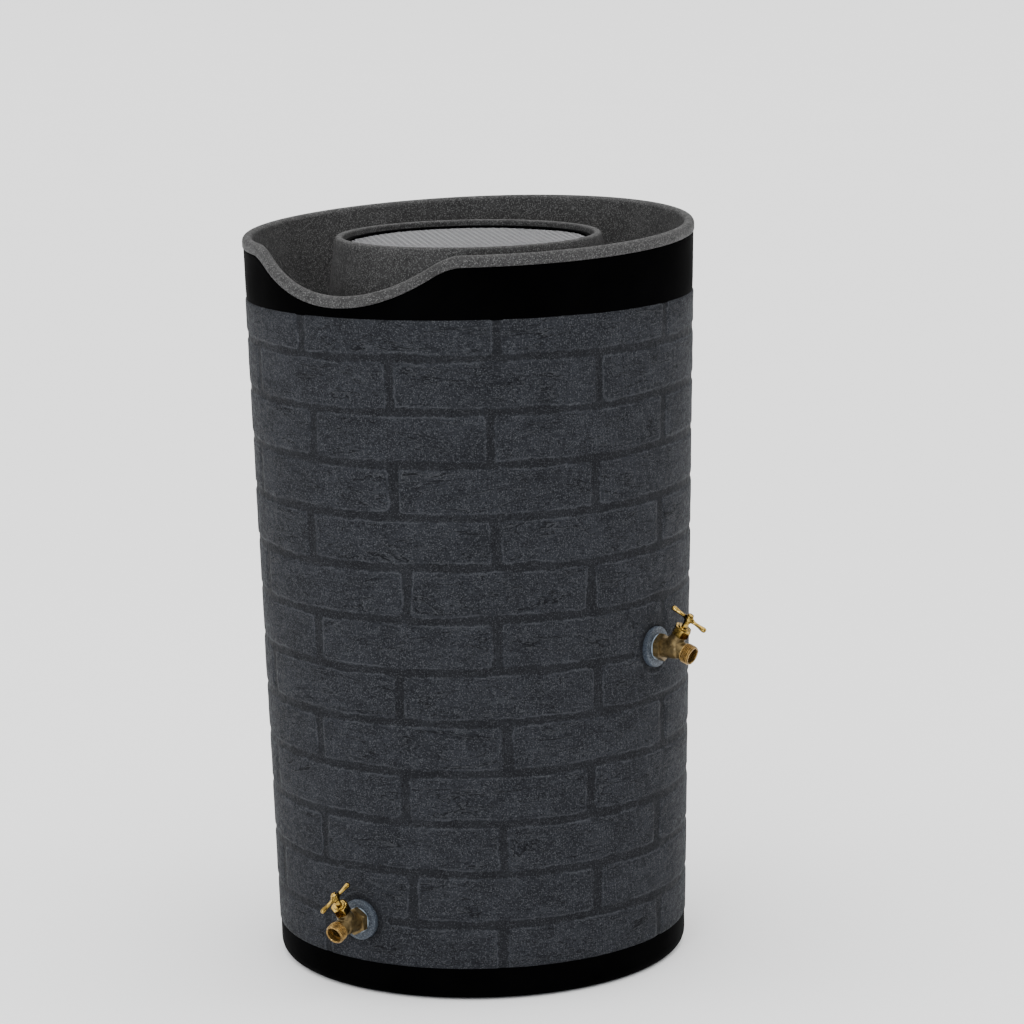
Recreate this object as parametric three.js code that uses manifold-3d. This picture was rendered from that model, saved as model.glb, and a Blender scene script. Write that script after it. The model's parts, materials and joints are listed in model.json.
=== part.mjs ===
// Rain barrel: a tapered water tank in a brick-pattern sleeve, with a lift-off planter ring on top,
// a lift-out screen in the planter's inlet, two brass hose bibbs and an overflow outlet.
//
// Millimetres, +Z up. The origin is the centre of the foot's flat underside. The front is -Y, where
// the lower bibb is and where the rim dips. The upper bibb is on the +X side.

import * as THREE from "three";
import { mergeVertices } from "three/addons/utils/BufferGeometryUtils.js";
import Module from "manifold-3d";

const wasm = await Module();
wasm.setup();

// ---------------------------------------------------------------- driving dimensions

// The wall is a cone that widens upwards. Its radius is the outer face of the sleeve.
const SLEEVE_BOTTOM = 44;
const SLEEVE_TOP = 900;
const BOTTOM_RADIUS = 280;
const TOP_RADIUS = 300;

const SLEEVE_THICK = 3.6;
const TANK_THICK = 4.5;
const FLOOR_THICK = 6;
const SLEEVE_GAP = 0.4; // between the sleeve and the tank wall behind it
const FIT = 0.3; // clearance where two still pieces rest on each other
const FOOT_FILLET = 18;
const FOOT_INSET = 2; // the foot band's face, in from the sleeve's face
const NECK_INSET = 1.5; // the neck band's face, in from the sleeve's face

// The rim is level round the sides, rises a little towards the back and dips at the front.
const RIM_ABOVE_SLEEVE = 66;
const BACK_RISE = 20;
const DIP_DEPTH = 54;
const DIP_HALF_ANGLE = THREE.MathUtils.degToRad(30);
const DIP_CORNER = 0.25; // how softly the dip meets the level rim

// The planter ring hangs inside the neck by a rolled lip.
const LIP_RADIUS = 301.5;
const LIP_HEIGHT = 15;
const LIP_WIDTH = 14.5;
const PLANTER_FLOOR = 838;
const PLANTER_THICK = 4.2;
const COLLAR_TOP = 978;
const COLLAR_TOP_RADIUS = 179;
const COLLAR_FOOT_RADIUS = 197;
const SEAT_HEIGHT = 962; // the ledge inside the collar that carries the screen
const SEAT_RADIUS = 167.5;
const THROAT_RADIUS = 156;
const DRAIN_HOLES = 8;
const DRAIN_RADIUS = 4;
const DRAIN_CIRCLE = 230;

// The bibbs: three-quarter inch, with a hex shoulder and a tee handle on a sloping stem.
const LOWER_BIBB_HEIGHT = 100;
const UPPER_BIBB_HEIGHT = 445;
const PAD_RADIUS = 27;
const PAD_PROUD = 2; // the pad's face, out from the wall radius
const PAD_WINDOW = 32; // radius of the opening in the sleeve round a pad
const SHANK_RADIUS = 13.2;
const SHANK_LENGTH = 26; // behind the pad's face
const SHANK_HOLE = 14; // radius of the hole through the wall and the pad
const STEM_START = 21; // where the stem's axis meets the bibb's axis, out from the pad's face
const STEM_ANGLE = THREE.MathUtils.degToRad(57); // above horizontal
const NOZZLE_ANGLE = THREE.MathUtils.degToRad(20); // below horizontal
const NOZZLE_START = [22, 4.6]; // on the nozzle's axis: out from the pad's face, and up
const NOZZLE_LENGTH = 34;
const HOSE_THREAD_RADIUS = 13.4;
const STEM_RADIUS = 4;
const SEAT_TOP = 5; // the valve seat, along the stem's axis
const CHAMBER_RADIUS = 8.6;
const BOSS_TOP = 24; // end of the body's boss, along the stem's axis
const HUB_AT = 50.5; // centre of the handle's hub, along the stem's axis
const HANDLE_HALF = 28;
const LOWER_HANDLE_TURN = THREE.MathUtils.degToRad(-12); // from upright, about the stem's axis
const UPPER_HANDLE_TURN = THREE.MathUtils.degToRad(8);
const SEAL_RADIUS = 17.6;

const OVERFLOW_HEIGHT = 785;
const BARB_RADIUS = 17;

// Facets
const AROUND_BARREL = 60;
const AROUND_SCREEN = 36;
const AROUND_FITTING = 20;
const AROUND_STEM = 12;

// ---------------------------------------------------------------- looks

const material = (color, roughness, metalness = 0) =>
  new THREE.MeshStandardMaterial({ color, roughness, metalness });
const BLACK_PLASTIC = material(0x0b0b0c, 0.45);
const BRICK_GREY = material(0x3c3d40, 0.85);
const PLANTER_GREY = material(0x55565a, 0.8);
const PAD_GREY = material(0x6c7683, 0.75);
const CAST_BRASS = material(0x9a7a3c, 0.5, 1);
const BRIGHT_BRASS = material(0xc9a24c, 0.25, 1);
const WHITE_PLASTIC = material(0xe4e4e0, 0.6);
const RUBBER = material(0x151515, 0.9);
const STEEL_MESH = material(0x9a9c9e, 0.4, 1);

// ---------------------------------------------------------------- shapes and booleans

const wallRadius = (z) =>
  BOTTOM_RADIUS + ((z - SLEEVE_BOTTOM) * (TOP_RADIUS - BOTTOM_RADIUS)) / (SLEEVE_TOP - SLEEVE_BOTTOM);
const tankRadius = (z) => wallRadius(z) - SLEEVE_THICK - SLEEVE_GAP;
const tankInside = (z) => tankRadius(z) - TANK_THICK;
const neckRadius = (z) => wallRadius(z) - NECK_INSET;

// The lower of two values, with a rounded corner of the given width where they cross.
function softMin(a, b, width) {
  const h = THREE.MathUtils.clamp(0.5 + (b - a) / (2 * width), 0, 1);
  return THREE.MathUtils.lerp(b, a, h) - width * h * (1 - h);
}

// Height of the tank's top edge at an angle from the front, positive towards +X.
function rimHeight(angle) {
  const towardsBack = ((1 - Math.cos(angle)) / 2) ** 1.5;
  const outOfDip = softMin((angle / DIP_HALF_ANGLE) ** 2, 1, DIP_CORNER);
  return SLEEVE_TOP + RIM_ABOVE_SLEEVE + BACK_RISE * towardsBack - DIP_DEPTH * (1 - outOfDip);
}

// A quarter of a circle as profile points, from one angle to another.
function arc(centreR, centreZ, radius, from, to, steps) {
  return Array.from({ length: steps + 1 }, (_, i) => {
    const angle = THREE.MathUtils.degToRad(from + ((to - from) * i) / steps);
    return [centreR + radius * Math.cos(angle), centreZ + radius * Math.sin(angle)];
  });
}

// A solid of revolution about Z whose profile may change with the angle. The profile is a list of
// [radius, z] that goes up the outside and down the inside. It closes on itself, or its two ends lie
// on the axis.
function ringSolid(profileAt) {
  const positions = [];
  const rows = [];
  const poles = {};
  for (let i = 0; i < AROUND_BARREL; i++) {
    const angle = (2 * Math.PI * i) / AROUND_BARREL - Math.PI;
    rows.push(
      profileAt(angle).map(([r, z], j) => {
        if (r === 0 && j in poles) return poles[j];
        positions.push(r * Math.sin(angle), -r * Math.cos(angle), z);
        const vertex = positions.length / 3 - 1;
        if (r === 0) poles[j] = vertex;
        return vertex;
      }),
    );
  }
  const onAxis = 0 in poles;
  const count = rows[0].length;
  const faces = [];
  for (let i = 0; i < AROUND_BARREL; i++) {
    const here = rows[i];
    const next = rows[(i + 1) % AROUND_BARREL];
    for (let j = 0; j < (onAxis ? count - 1 : count); j++) {
      const up = (j + 1) % count;
      if (here[j] !== next[j]) faces.push(here[j], next[j], next[up]);
      if (here[up] !== next[up]) faces.push(here[j], next[up], here[up]);
    }
  }
  const geometry = new THREE.BufferGeometry();
  geometry.setAttribute("position", new THREE.Float32BufferAttribute(positions, 3));
  geometry.setIndex(faces);
  return geometry;
}

// A turned piece about Z, from [radius, z] points.
const turned = (profile, around = AROUND_FITTING) =>
  new THREE.LatheGeometry(
    profile.map(([r, z]) => new THREE.Vector2(r, z)),
    around,
  ).rotateX(Math.PI / 2);

const rod = (radius, from, to, around = AROUND_FITTING) =>
  turned([[0, from], [radius, from], [radius, to], [0, to]], around);

const tube = (inner, outer, from, to, around = AROUND_FITTING) =>
  turned([[inner, from], [outer, from], [outer, to], [inner, to], [inner, from]], around);

// A hexagonal prism about Z, measured across its flats.
const hexagon = (acrossFlats, from, to) =>
  new THREE.CylinderGeometry(acrossFlats / Math.sqrt(3), acrossFlats / Math.sqrt(3), to - from, 6)
    .rotateX(Math.PI / 2)
    .translate(0, 0, (from + to) / 2);

function solidOf(geometry) {
  const bare = geometry.clone();
  bare.deleteAttribute("normal");
  bare.deleteAttribute("uv");
  const merged = mergeVertices(bare, 1e-3);
  const kept = [];
  for (let i = 0; i < merged.index.count; i += 3) {
    const [a, b, c] = [0, 1, 2].map((k) => merged.index.getX(i + k));
    if (a !== b && b !== c && c !== a) kept.push(a, b, c);
  }
  return new wasm.Manifold(
    new wasm.Mesh({
      numProp: 3,
      vertProperties: merged.attributes.position.array,
      triVerts: new Uint32Array(kept),
    }),
  );
}

function geometryOf(solid) {
  const mesh = solid.getMesh();
  const geometry = new THREE.BufferGeometry();
  geometry.setAttribute("position", new THREE.BufferAttribute(new Float32Array(mesh.vertProperties), 3));
  geometry.setIndex(new THREE.BufferAttribute(new Uint32Array(mesh.triVerts), 1));
  const faceted = geometry.toNonIndexed();
  faceted.computeVertexNormals();
  return faceted;
}

const joined = (...pieces) => geometryOf(pieces.map(solidOf).reduce((a, b) => a.add(b)));
const cut = (piece, ...tools) =>
  geometryOf(tools.map(solidOf).reduce((a, b) => a.subtract(b), solidOf(piece)));
const common = (a, b) => geometryOf(solidOf(a).intersect(solidOf(b)));

// ---------------------------------------------------------------- frames on the wall

// A fitting's own frame: the origin is the centre of its outer seat, -Y points out of the barrel and
// +Z is up. Turns go from the front towards +X.
function wallFrame(name, height, turn) {
  const frame = new THREE.Group();
  frame.name = name;
  const distance = wallRadius(height) + PAD_PROUD;
  frame.rotation.z = turn;
  frame.position.set(distance * Math.sin(turn), -distance * Math.cos(turn), height);
  frame.updateMatrixWorld(true);
  return frame;
}

// A shape made about +Z, turned so that its +Z points out of the wall.
const outwards = (geometry) => geometry.rotateX(Math.PI / 2);

// A solid cone that follows the tank wall, seen from a fitting's frame.
const wallCone = (frame, radiusAt) =>
  ringSolid(() => [
    [0, 1],
    [radiusAt(1), 1],
    [radiusAt(SLEEVE_TOP), SLEEVE_TOP],
    [0, SLEEVE_TOP],
  ]).applyMatrix4(frame.matrixWorld.clone().invert());

// A round hole through the wall at a fitting, in the barrel's frame.
const wallHole = (frame, radius) =>
  outwards(rod(radius, -40, 20)).applyMatrix4(frame.matrixWorld);

const lowerBibb = wallFrame("lower_bibb", LOWER_BIBB_HEIGHT, 0);
const upperBibb = wallFrame("upper_bibb", UPPER_BIBB_HEIGHT, Math.PI / 2);
const overflow = wallFrame("overflow", OVERFLOW_HEIGHT, Math.PI);
const fittings = [lowerBibb, upperBibb, overflow];

// ---------------------------------------------------------------- the barrel

// The tank: flat floor, rounded foot, a shallow recess for the sleeve, and an open neck.
function tankShell() {
  const footFace = BOTTOM_RADIUS - FOOT_INSET;
  const shelf = SLEEVE_BOTTOM - FIT;
  const step = SLEEVE_TOP + FIT;
  const vessel = ringSolid((angle) => {
    const rim = rimHeight(angle) - FIT;
    return [
      [0, 0],
      ...arc(footFace - FOOT_FILLET, FOOT_FILLET, FOOT_FILLET, -90, 0, 4),
      [footFace, shelf],
      [tankRadius(shelf), shelf],
      [tankRadius(step), step],
      [neckRadius(step), step],
      [neckRadius(rim), rim],
      [neckRadius(rim) - TANK_THICK, rim],
      [neckRadius(step) - TANK_THICK, step + TANK_THICK],
      [tankInside(step - 2 * TANK_THICK), step - 2 * TANK_THICK],
      ...arc(tankInside(SLEEVE_BOTTOM) - FOOT_FILLET, FLOOR_THICK + FOOT_FILLET, FOOT_FILLET, 0, -90, 3),
      [0, FLOOR_THICK],
    ];
  });
  return cut(vessel, ...fittings.map((frame) => wallHole(frame, SHANK_HOLE)));
}

// The brick-pattern sleeve, a plain thin cone here, open round each fitting.
function brickSleeve() {
  const sleeve = ringSolid(() => [
    [wallRadius(SLEEVE_BOTTOM), SLEEVE_BOTTOM],
    [wallRadius(SLEEVE_TOP), SLEEVE_TOP],
    [wallRadius(SLEEVE_TOP) - SLEEVE_THICK, SLEEVE_TOP],
    [wallRadius(SLEEVE_BOTTOM) - SLEEVE_THICK, SLEEVE_BOTTOM],
  ]);
  return cut(sleeve, ...fittings.map((frame) => wallHole(frame, PAD_WINDOW)));
}

// The planter ring: a rolled lip, a round trough for soil and a raised collar round the inlet.
function planterRing() {
  const lipRoll = LIP_WIDTH / 2;
  const troughWall = 268;
  const floorUnder = PLANTER_FLOOR - PLANTER_THICK;
  const ring = ringSolid((angle) => {
    const rim = rimHeight(angle);
    const lipTop = rim + LIP_HEIGHT - lipRoll;
    return [
      [LIP_RADIUS - 1.5, rim],
      [LIP_RADIUS, rim + 1.5],
      ...arc(LIP_RADIUS - lipRoll, lipTop, lipRoll, 0, 180, 5),
      [troughWall, PLANTER_FLOOR + 14],
      [troughWall - 5, PLANTER_FLOOR + 4],
      [troughWall - 15, PLANTER_FLOOR],
      [COLLAR_FOOT_RADIUS + 13, PLANTER_FLOOR],
      [COLLAR_FOOT_RADIUS + 4, PLANTER_FLOOR + 4],
      [COLLAR_FOOT_RADIUS, PLANTER_FLOOR + 12],
      [COLLAR_TOP_RADIUS, COLLAR_TOP - 10],
      [COLLAR_TOP_RADIUS - 2, COLLAR_TOP - 3],
      [COLLAR_TOP_RADIUS - 6, COLLAR_TOP],
      [SEAT_RADIUS + 2, COLLAR_TOP - 1],
      [SEAT_RADIUS, COLLAR_TOP - 5],
      [SEAT_RADIUS, SEAT_HEIGHT],
      [THROAT_RADIUS, SEAT_HEIGHT],
      [THROAT_RADIUS, SEAT_HEIGHT - PLANTER_THICK],
      [COLLAR_TOP_RADIUS - PLANTER_THICK, SEAT_HEIGHT - PLANTER_THICK],
      [COLLAR_FOOT_RADIUS - PLANTER_THICK, PLANTER_FLOOR + 8],
      [COLLAR_FOOT_RADIUS - PLANTER_THICK, floorUnder],
      [troughWall - 13, floorUnder],
      [troughWall - 2, PLANTER_FLOOR],
      [troughWall + PLANTER_THICK, PLANTER_FLOOR + 12],
      [LIP_RADIUS - LIP_WIDTH + PLANTER_THICK, rim - 2],
      [LIP_RADIUS - LIP_WIDTH + PLANTER_THICK + 1.5, rim],
    ];
  });
  const drains = Array.from({ length: DRAIN_HOLES }, (_, i) => {
    const angle = (2 * Math.PI * (i + 0.5)) / DRAIN_HOLES;
    return rod(DRAIN_RADIUS, floorUnder - 2, PLANTER_FLOOR + 2, 10).translate(
      DRAIN_CIRCLE * Math.cos(angle),
      DRAIN_CIRCLE * Math.sin(angle),
      0,
    );
  });
  return cut(ring, ...drains);
}

// The screen rests on the collar's ledge: a frame with a cross under the mesh.
const MESH_RADIUS = 159;
const MESH_THICK = 1;
const FRAME_TOP = SEAT_HEIGHT + 8.5;
const FRAME_INSIDE = 152;
const MESH_BED = SEAT_HEIGHT + 4.3;

function screenFrame() {
  const ring = turned(
    [
      [FRAME_INSIDE, SEAT_HEIGHT + FIT],
      [SEAT_RADIUS - 1, SEAT_HEIGHT + FIT],
      [SEAT_RADIUS - 1, FRAME_TOP],
      [MESH_RADIUS + 0.5, FRAME_TOP],
      [MESH_RADIUS + 0.5, MESH_BED],
      [FRAME_INSIDE, MESH_BED],
      [FRAME_INSIDE, SEAT_HEIGHT + FIT],
    ],
    AROUND_SCREEN,
  );
  const barHeight = MESH_BED - SEAT_HEIGHT - FIT;
  const bar = new THREE.BoxGeometry(2 * FRAME_INSIDE + 4, 6, barHeight).translate(
    0,
    0,
    MESH_BED - barHeight / 2,
  );
  return joined(ring, bar, bar.clone().rotateZ(Math.PI / 2));
}

const screenMesh = () => rod(MESH_RADIUS, MESH_BED + FIT, MESH_BED + FIT + MESH_THICK, AROUND_SCREEN);

// ---------------------------------------------------------------- a hose bibb

// The stem's frame: +Z along the stem, out and up from the bibb's axis.
const stemMatrix = new THREE.Matrix4()
  .makeRotationX(Math.PI / 2 - STEM_ANGLE)
  .setPosition(0, -STEM_START, 0);
const nozzleMatrix = new THREE.Matrix4()
  .makeRotationX(Math.PI / 2 + NOZZLE_ANGLE)
  .setPosition(0, -NOZZLE_START[0], NOZZLE_START[1]);

const SEAT_RING = 6.2;
const ORIFICE_RADIUS = 5;
const INLET_RADIUS = 6;
const SHOULDER_START = 2;
const SHOULDER_END = 10.8;
const BODY_RADIUS = 13;
const BODY_END = 36;
const NOZZLE_BORE = 9.6;

// The body: shank, hex shoulder, round belly, boss for the bonnet and threaded nozzle, with the
// water's way in, the seat, the chamber above the seat and the way out.
function valveBody() {
  const belly = outwards(
    turned([
      [0, SHOULDER_END - 2],
      [BODY_RADIUS, SHOULDER_END - 2],
      [BODY_RADIUS, BODY_END - 8],
      [BODY_RADIUS - 2.5, BODY_END - 3.5],
      [BODY_RADIUS - 7, BODY_END - 0.8],
      [0, BODY_END],
    ]),
  );
  const boss = turned([
    [0, -2],
    [BODY_RADIUS - 1.5, -2],
    [BODY_RADIUS - 1.5, 13],
    [10.4, 17],
    [10.4, BOSS_TOP],
    [0, BOSS_TOP],
  ]).applyMatrix4(stemMatrix);
  const nozzle = turned([
    [0, 0],
    [11.5, 0],
    [11.5, NOZZLE_LENGTH - 14],
    [HOSE_THREAD_RADIUS, NOZZLE_LENGTH - 12.5],
    [HOSE_THREAD_RADIUS, NOZZLE_LENGTH - 0.8],
    [HOSE_THREAD_RADIUS - 0.8, NOZZLE_LENGTH],
    [0, NOZZLE_LENGTH],
  ]).applyMatrix4(nozzleMatrix);
  const shank = outwards(rod(SHANK_RADIUS, -SHANK_LENGTH, SHOULDER_START + 1));
  const shoulder = outwards(hexagon(32, SHOULDER_START, SHOULDER_END));
  const inlet = outwards(rod(INLET_RADIUS, -SHANK_LENGTH - 1, STEM_START - 1, AROUND_STEM));
  const orifice = rod(ORIFICE_RADIUS, -1, SEAT_TOP + 1, AROUND_STEM).applyMatrix4(stemMatrix);
  const chamber = turned([
    [0, SEAT_TOP],
    [SEAT_RING, SEAT_TOP],
    [SEAT_RING, SEAT_TOP - 1.5],
    [CHAMBER_RADIUS, SEAT_TOP - 1.5],
    [CHAMBER_RADIUS, BOSS_TOP + 1],
    [0, BOSS_TOP + 1],
  ]).applyMatrix4(stemMatrix);
  const outlet = rod(NOZZLE_BORE, 8, NOZZLE_LENGTH + 1, AROUND_STEM).applyMatrix4(nozzleMatrix);
  return cut(joined(shank, shoulder, belly, boss, nozzle), inlet, orifice, chamber, outlet);
}

const HEX_TOP = BOSS_TOP + 11.9;
const PLUG_END = BOSS_TOP - 6.5;
const PACKING_TOP = BOSS_TOP + 1.8;
const PACKING_CHAMBER = 6.6;
const STEM_BORE = STEM_RADIUS + 0.35;

// The bonnet nut plugs the boss and holds the packing ring round the stem.
function bonnetNut() {
  const hex = common(
    hexagon(21, BOSS_TOP + FIT, HEX_TOP),
    turned([
      [0, BOSS_TOP],
      [11.6, BOSS_TOP],
      [12.2, BOSS_TOP + 1],
      [12.2, HEX_TOP - 1.8],
      [10, HEX_TOP],
      [0, HEX_TOP],
    ]),
  );
  const plug = rod(CHAMBER_RADIUS - 0.4, PLUG_END, BOSS_TOP + 1);
  const cap = turned([[0, HEX_TOP - 0.4], [8, HEX_TOP - 0.4], [7, HEX_TOP + 1.8], [0, HEX_TOP + 1.8]]);
  const packingRoom = rod(PACKING_CHAMBER, PLUG_END - 1, PACKING_TOP, AROUND_STEM);
  return cut(joined(hex, plug, cap), packingRoom, rod(STEM_BORE, PLUG_END - 2, HEX_TOP + 3, AROUND_STEM));
}

const packingRing = () =>
  tube(STEM_BORE, PACKING_CHAMBER - 0.35, PLUG_END + 1, PACKING_TOP - FIT, AROUND_STEM);

const WASHER_TOP = 7.7;
const TENON_RADIUS = 2.9;
const SCREW_RADIUS = 1.5;

// The stem: a flange that carries the seat washer, a round shaft, and a tenon for the handle.
const valveStem = () =>
  turned(
    [
      [0, WASHER_TOP + 6],
      [SCREW_RADIUS + 0.35, WASHER_TOP + 6],
      [SCREW_RADIUS + 0.35, WASHER_TOP + FIT],
      [6.4, WASHER_TOP + FIT],
      [6.4, WASHER_TOP + 3],
      [STEM_RADIUS, WASHER_TOP + 4.5],
      [STEM_RADIUS, HUB_AT - 5.6],
      [TENON_RADIUS, HUB_AT - 5.6],
      [TENON_RADIUS, HUB_AT],
      [0, HUB_AT],
    ],
    AROUND_STEM,
  );

const seatWasher = () => tube(SCREW_RADIUS + 0.35, 6, SEAT_TOP + FIT, WASHER_TOP, AROUND_STEM);

const seatWasherScrew = () =>
  turned(
    [
      [0, SEAT_TOP - 1.6],
      [3, SEAT_TOP - 1.6],
      [3, SEAT_TOP],
      [SCREW_RADIUS, SEAT_TOP],
      [SCREW_RADIUS, WASHER_TOP + 5],
      [0, WASHER_TOP + 5],
    ],
    AROUND_STEM,
  );

// The tee handle: a ball hub with two arms that swell to round ends, bored for the tenon.
function teeHandle(turn) {
  const waist = 2.3;
  const knob = 3.7;
  const hub = 5.6;
  const half = [
    [0, HANDLE_HALF],
    [knob * 0.7, HANDLE_HALF - 0.8],
    [knob, HANDLE_HALF - 3],
    [knob - 0.4, HANDLE_HALF - 7],
    [waist, 9],
    [waist + 0.6, 6.5],
    [hub * 0.8, 3.6],
  ];
  const profile = [
    ...half.map(([r, along]) => [r, -along]),
    [hub, 0],
    ...half.slice().reverse(),
  ];
  const bar = turned(profile, AROUND_STEM).rotateX(Math.PI / 2).rotateZ(turn).translate(0, 0, HUB_AT);
  const sleeve = rod(4.9, HUB_AT - 5.3, HUB_AT + 5, AROUND_STEM);
  return cut(joined(bar, sleeve), rod(TENON_RADIUS + 0.35, HUB_AT - 7, HUB_AT + 7, 12));
}

const handleScrew = () =>
  turned(
    [
      [0, HUB_AT + FIT],
      [2, HUB_AT + FIT],
      [2, HUB_AT + 5.6],
      [4, HUB_AT + 5.6],
      [3.4, HUB_AT + 7.2],
      [0, HUB_AT + 7.8],
    ],
    AROUND_STEM,
  );

// ---------------------------------------------------------------- pieces against the wall

// A disc on the outside of the tank wall, hollowed to fit it, with a hole for the shank.
const outerPad = (frame, radius, faceAt) =>
  cut(
    outwards(tube(SHANK_HOLE, radius, -20, faceAt)),
    wallCone(frame, (z) => tankRadius(z) + FIT),
  );

const sealWasher = () => outwards(tube(SHANK_HOLE, SEAL_RADIUS, FIT, SHOULDER_START - FIT));

// Inside the wall, how far a fitting's flat parts lie behind its seat.
function wallDepth(frame) {
  const lean = wallRadius(frame.position.z + 20) - wallRadius(frame.position.z);
  return PAD_PROUD + SLEEVE_THICK + SLEEVE_GAP + TANK_THICK + lean;
}
const GASKET_THICK = 3;
const GASKET_RADIUS = 21;
const NUT_THICK = 8;

const innerGasket = (frame) =>
  common(
    outwards(tube(SHANK_HOLE, GASKET_RADIUS, -wallDepth(frame) - GASKET_THICK, 0)),
    wallCone(frame, (z) => tankInside(z) - FIT),
  );

function innerNut(frame) {
  const face = -wallDepth(frame) - GASKET_THICK - FIT;
  const bore = rod(SHANK_RADIUS + 0.35, face - NUT_THICK - 1, face + 1);
  return outwards(cut(hexagon(36, face - NUT_THICK, face), bore));
}

// ---------------------------------------------------------------- the overflow outlet

// A hose tail with a flange against the tank, a bore right through and three barbs.
function overflowSpout() {
  const bore = SHANK_RADIUS - 3.5;
  const barbs = [12, 20, 28].flatMap((at) => [
    [BARB_RADIUS, at],
    [BARB_RADIUS - 2.5, at + 7],
  ]);
  const tail = outwards(
    turned([
      [bore, -SHANK_LENGTH],
      [SHANK_RADIUS, -SHANK_LENGTH],
      [SHANK_RADIUS, 0],
      [BARB_RADIUS + 1, 0],
      [BARB_RADIUS + 1, 10],
      [BARB_RADIUS - 2.5, 12],
      ...barbs,
      [bore, 35],
      [bore, -SHANK_LENGTH],
    ]),
  );
  return joined(tail, cut(outerPad(overflow, PAD_RADIUS, 3), outwards(rod(SHANK_HOLE - 1, -30, 10))));
}

// ---------------------------------------------------------------- assembly

function named(name, geometry, look) {
  const mesh = new THREE.Mesh(geometry, look);
  mesh.name = name;
  return mesh;
}

function addBibb(frame, prefix, handleTurn) {
  const stemLine = new THREE.Group();
  stemLine.applyMatrix4(stemMatrix);
  stemLine.add(
    named(`${prefix}_bonnet_nut`, bonnetNut(), BRIGHT_BRASS),
    named(`${prefix}_packing_ring`, packingRing(), RUBBER),
    named(`${prefix}_stem`, valveStem(), BRIGHT_BRASS),
    named(`${prefix}_seat_washer`, seatWasher(), RUBBER),
    named(`${prefix}_seat_washer_screw`, seatWasherScrew(), BRIGHT_BRASS),
    named(`${prefix}_tee_handle`, teeHandle(handleTurn), BRIGHT_BRASS),
    named(`${prefix}_handle_screw`, handleScrew(), BRIGHT_BRASS),
  );
  frame.add(
    named(`${prefix}_spigot_pad`, outerPad(frame, PAD_RADIUS, 0), PAD_GREY),
    named(`${prefix}_seal_washer`, sealWasher(), WHITE_PLASTIC),
    named(`${prefix}_valve_body`, valveBody(), CAST_BRASS),
    named(`${prefix}_inner_gasket`, innerGasket(frame), RUBBER),
    named(`${prefix}_locknut`, innerNut(frame), CAST_BRASS),
    stemLine,
  );
}

addBibb(lowerBibb, "lower", LOWER_HANDLE_TURN);
addBibb(upperBibb, "upper", UPPER_HANDLE_TURN);
overflow.add(
  named("overflow_spout", overflowSpout(), BLACK_PLASTIC),
  named("overflow_gasket", innerGasket(overflow), RUBBER),
  named("overflow_locknut", innerNut(overflow), BLACK_PLASTIC),
);

const rainBarrel = new THREE.Group();
rainBarrel.name = "rain_barrel";
rainBarrel.add(
  named("tank_shell", tankShell(), BLACK_PLASTIC),
  named("brick_sleeve", brickSleeve(), BRICK_GREY),
  named("planter_ring", planterRing(), PLANTER_GREY),
  named("screen_frame", screenFrame(), BLACK_PLASTIC),
  named("screen_mesh", screenMesh(), STEEL_MESH),
  ...fittings,
);

export default rainBarrel;
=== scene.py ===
"""Looks of the rain barrel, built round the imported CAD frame. Metres, +Z up, front is -Y."""
import json
import math

import bmesh
import bpy
import numpy as np
from mathutils import Matrix, Vector

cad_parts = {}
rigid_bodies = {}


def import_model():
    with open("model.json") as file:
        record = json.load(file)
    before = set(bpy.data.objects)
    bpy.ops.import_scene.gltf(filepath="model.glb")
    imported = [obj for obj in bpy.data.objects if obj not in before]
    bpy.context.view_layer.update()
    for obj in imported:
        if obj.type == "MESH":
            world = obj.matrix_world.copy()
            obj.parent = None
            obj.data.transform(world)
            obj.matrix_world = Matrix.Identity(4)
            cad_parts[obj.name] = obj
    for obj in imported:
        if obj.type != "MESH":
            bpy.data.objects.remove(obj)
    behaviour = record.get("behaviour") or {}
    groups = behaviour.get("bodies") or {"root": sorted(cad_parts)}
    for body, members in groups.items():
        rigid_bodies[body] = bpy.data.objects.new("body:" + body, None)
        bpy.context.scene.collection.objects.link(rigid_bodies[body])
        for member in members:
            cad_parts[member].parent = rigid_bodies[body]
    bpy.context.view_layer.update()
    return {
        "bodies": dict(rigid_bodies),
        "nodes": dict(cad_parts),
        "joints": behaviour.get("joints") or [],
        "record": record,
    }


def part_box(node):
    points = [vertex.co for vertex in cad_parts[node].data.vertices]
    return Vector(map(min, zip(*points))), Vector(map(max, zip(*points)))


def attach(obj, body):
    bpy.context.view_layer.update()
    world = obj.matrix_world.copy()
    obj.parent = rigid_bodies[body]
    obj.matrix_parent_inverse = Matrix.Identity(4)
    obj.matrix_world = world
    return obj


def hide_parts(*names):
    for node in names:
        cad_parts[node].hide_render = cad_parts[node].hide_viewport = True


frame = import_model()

MM = 0.001

# ---------------------------------------------------------------- dimensions, from the frame


def edge_radius(node, top):
    """Outer radius of a round CAD node at its top or bottom edge."""
    points = np.array([v.co for v in frame["nodes"][node].data.vertices])
    level = points[:, 2].max() if top else points[:, 2].min()
    edge = points[np.abs(points[:, 2] - level) < 0.5 * MM]
    return float(np.hypot(edge[:, 0], edge[:, 1]).max())


SLEEVE_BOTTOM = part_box("brick_sleeve")[0].z
SLEEVE_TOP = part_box("brick_sleeve")[1].z
SLEEVE_HEIGHT = SLEEVE_TOP - SLEEVE_BOTTOM
BOTTOM_RADIUS = edge_radius("brick_sleeve", top=False)
TOP_RADIUS = edge_radius("brick_sleeve", top=True)
SLEEVE_THICK = 3.6 * MM
SLEEVE_GAP = 0.4 * MM
TANK_THICK = 4.5 * MM
FLOOR_THICK = 6 * MM
FIT = 0.3 * MM
FOOT_FILLET = 18 * MM
FOOT_INSET = 2 * MM
NECK_INSET = 1.5 * MM

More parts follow.
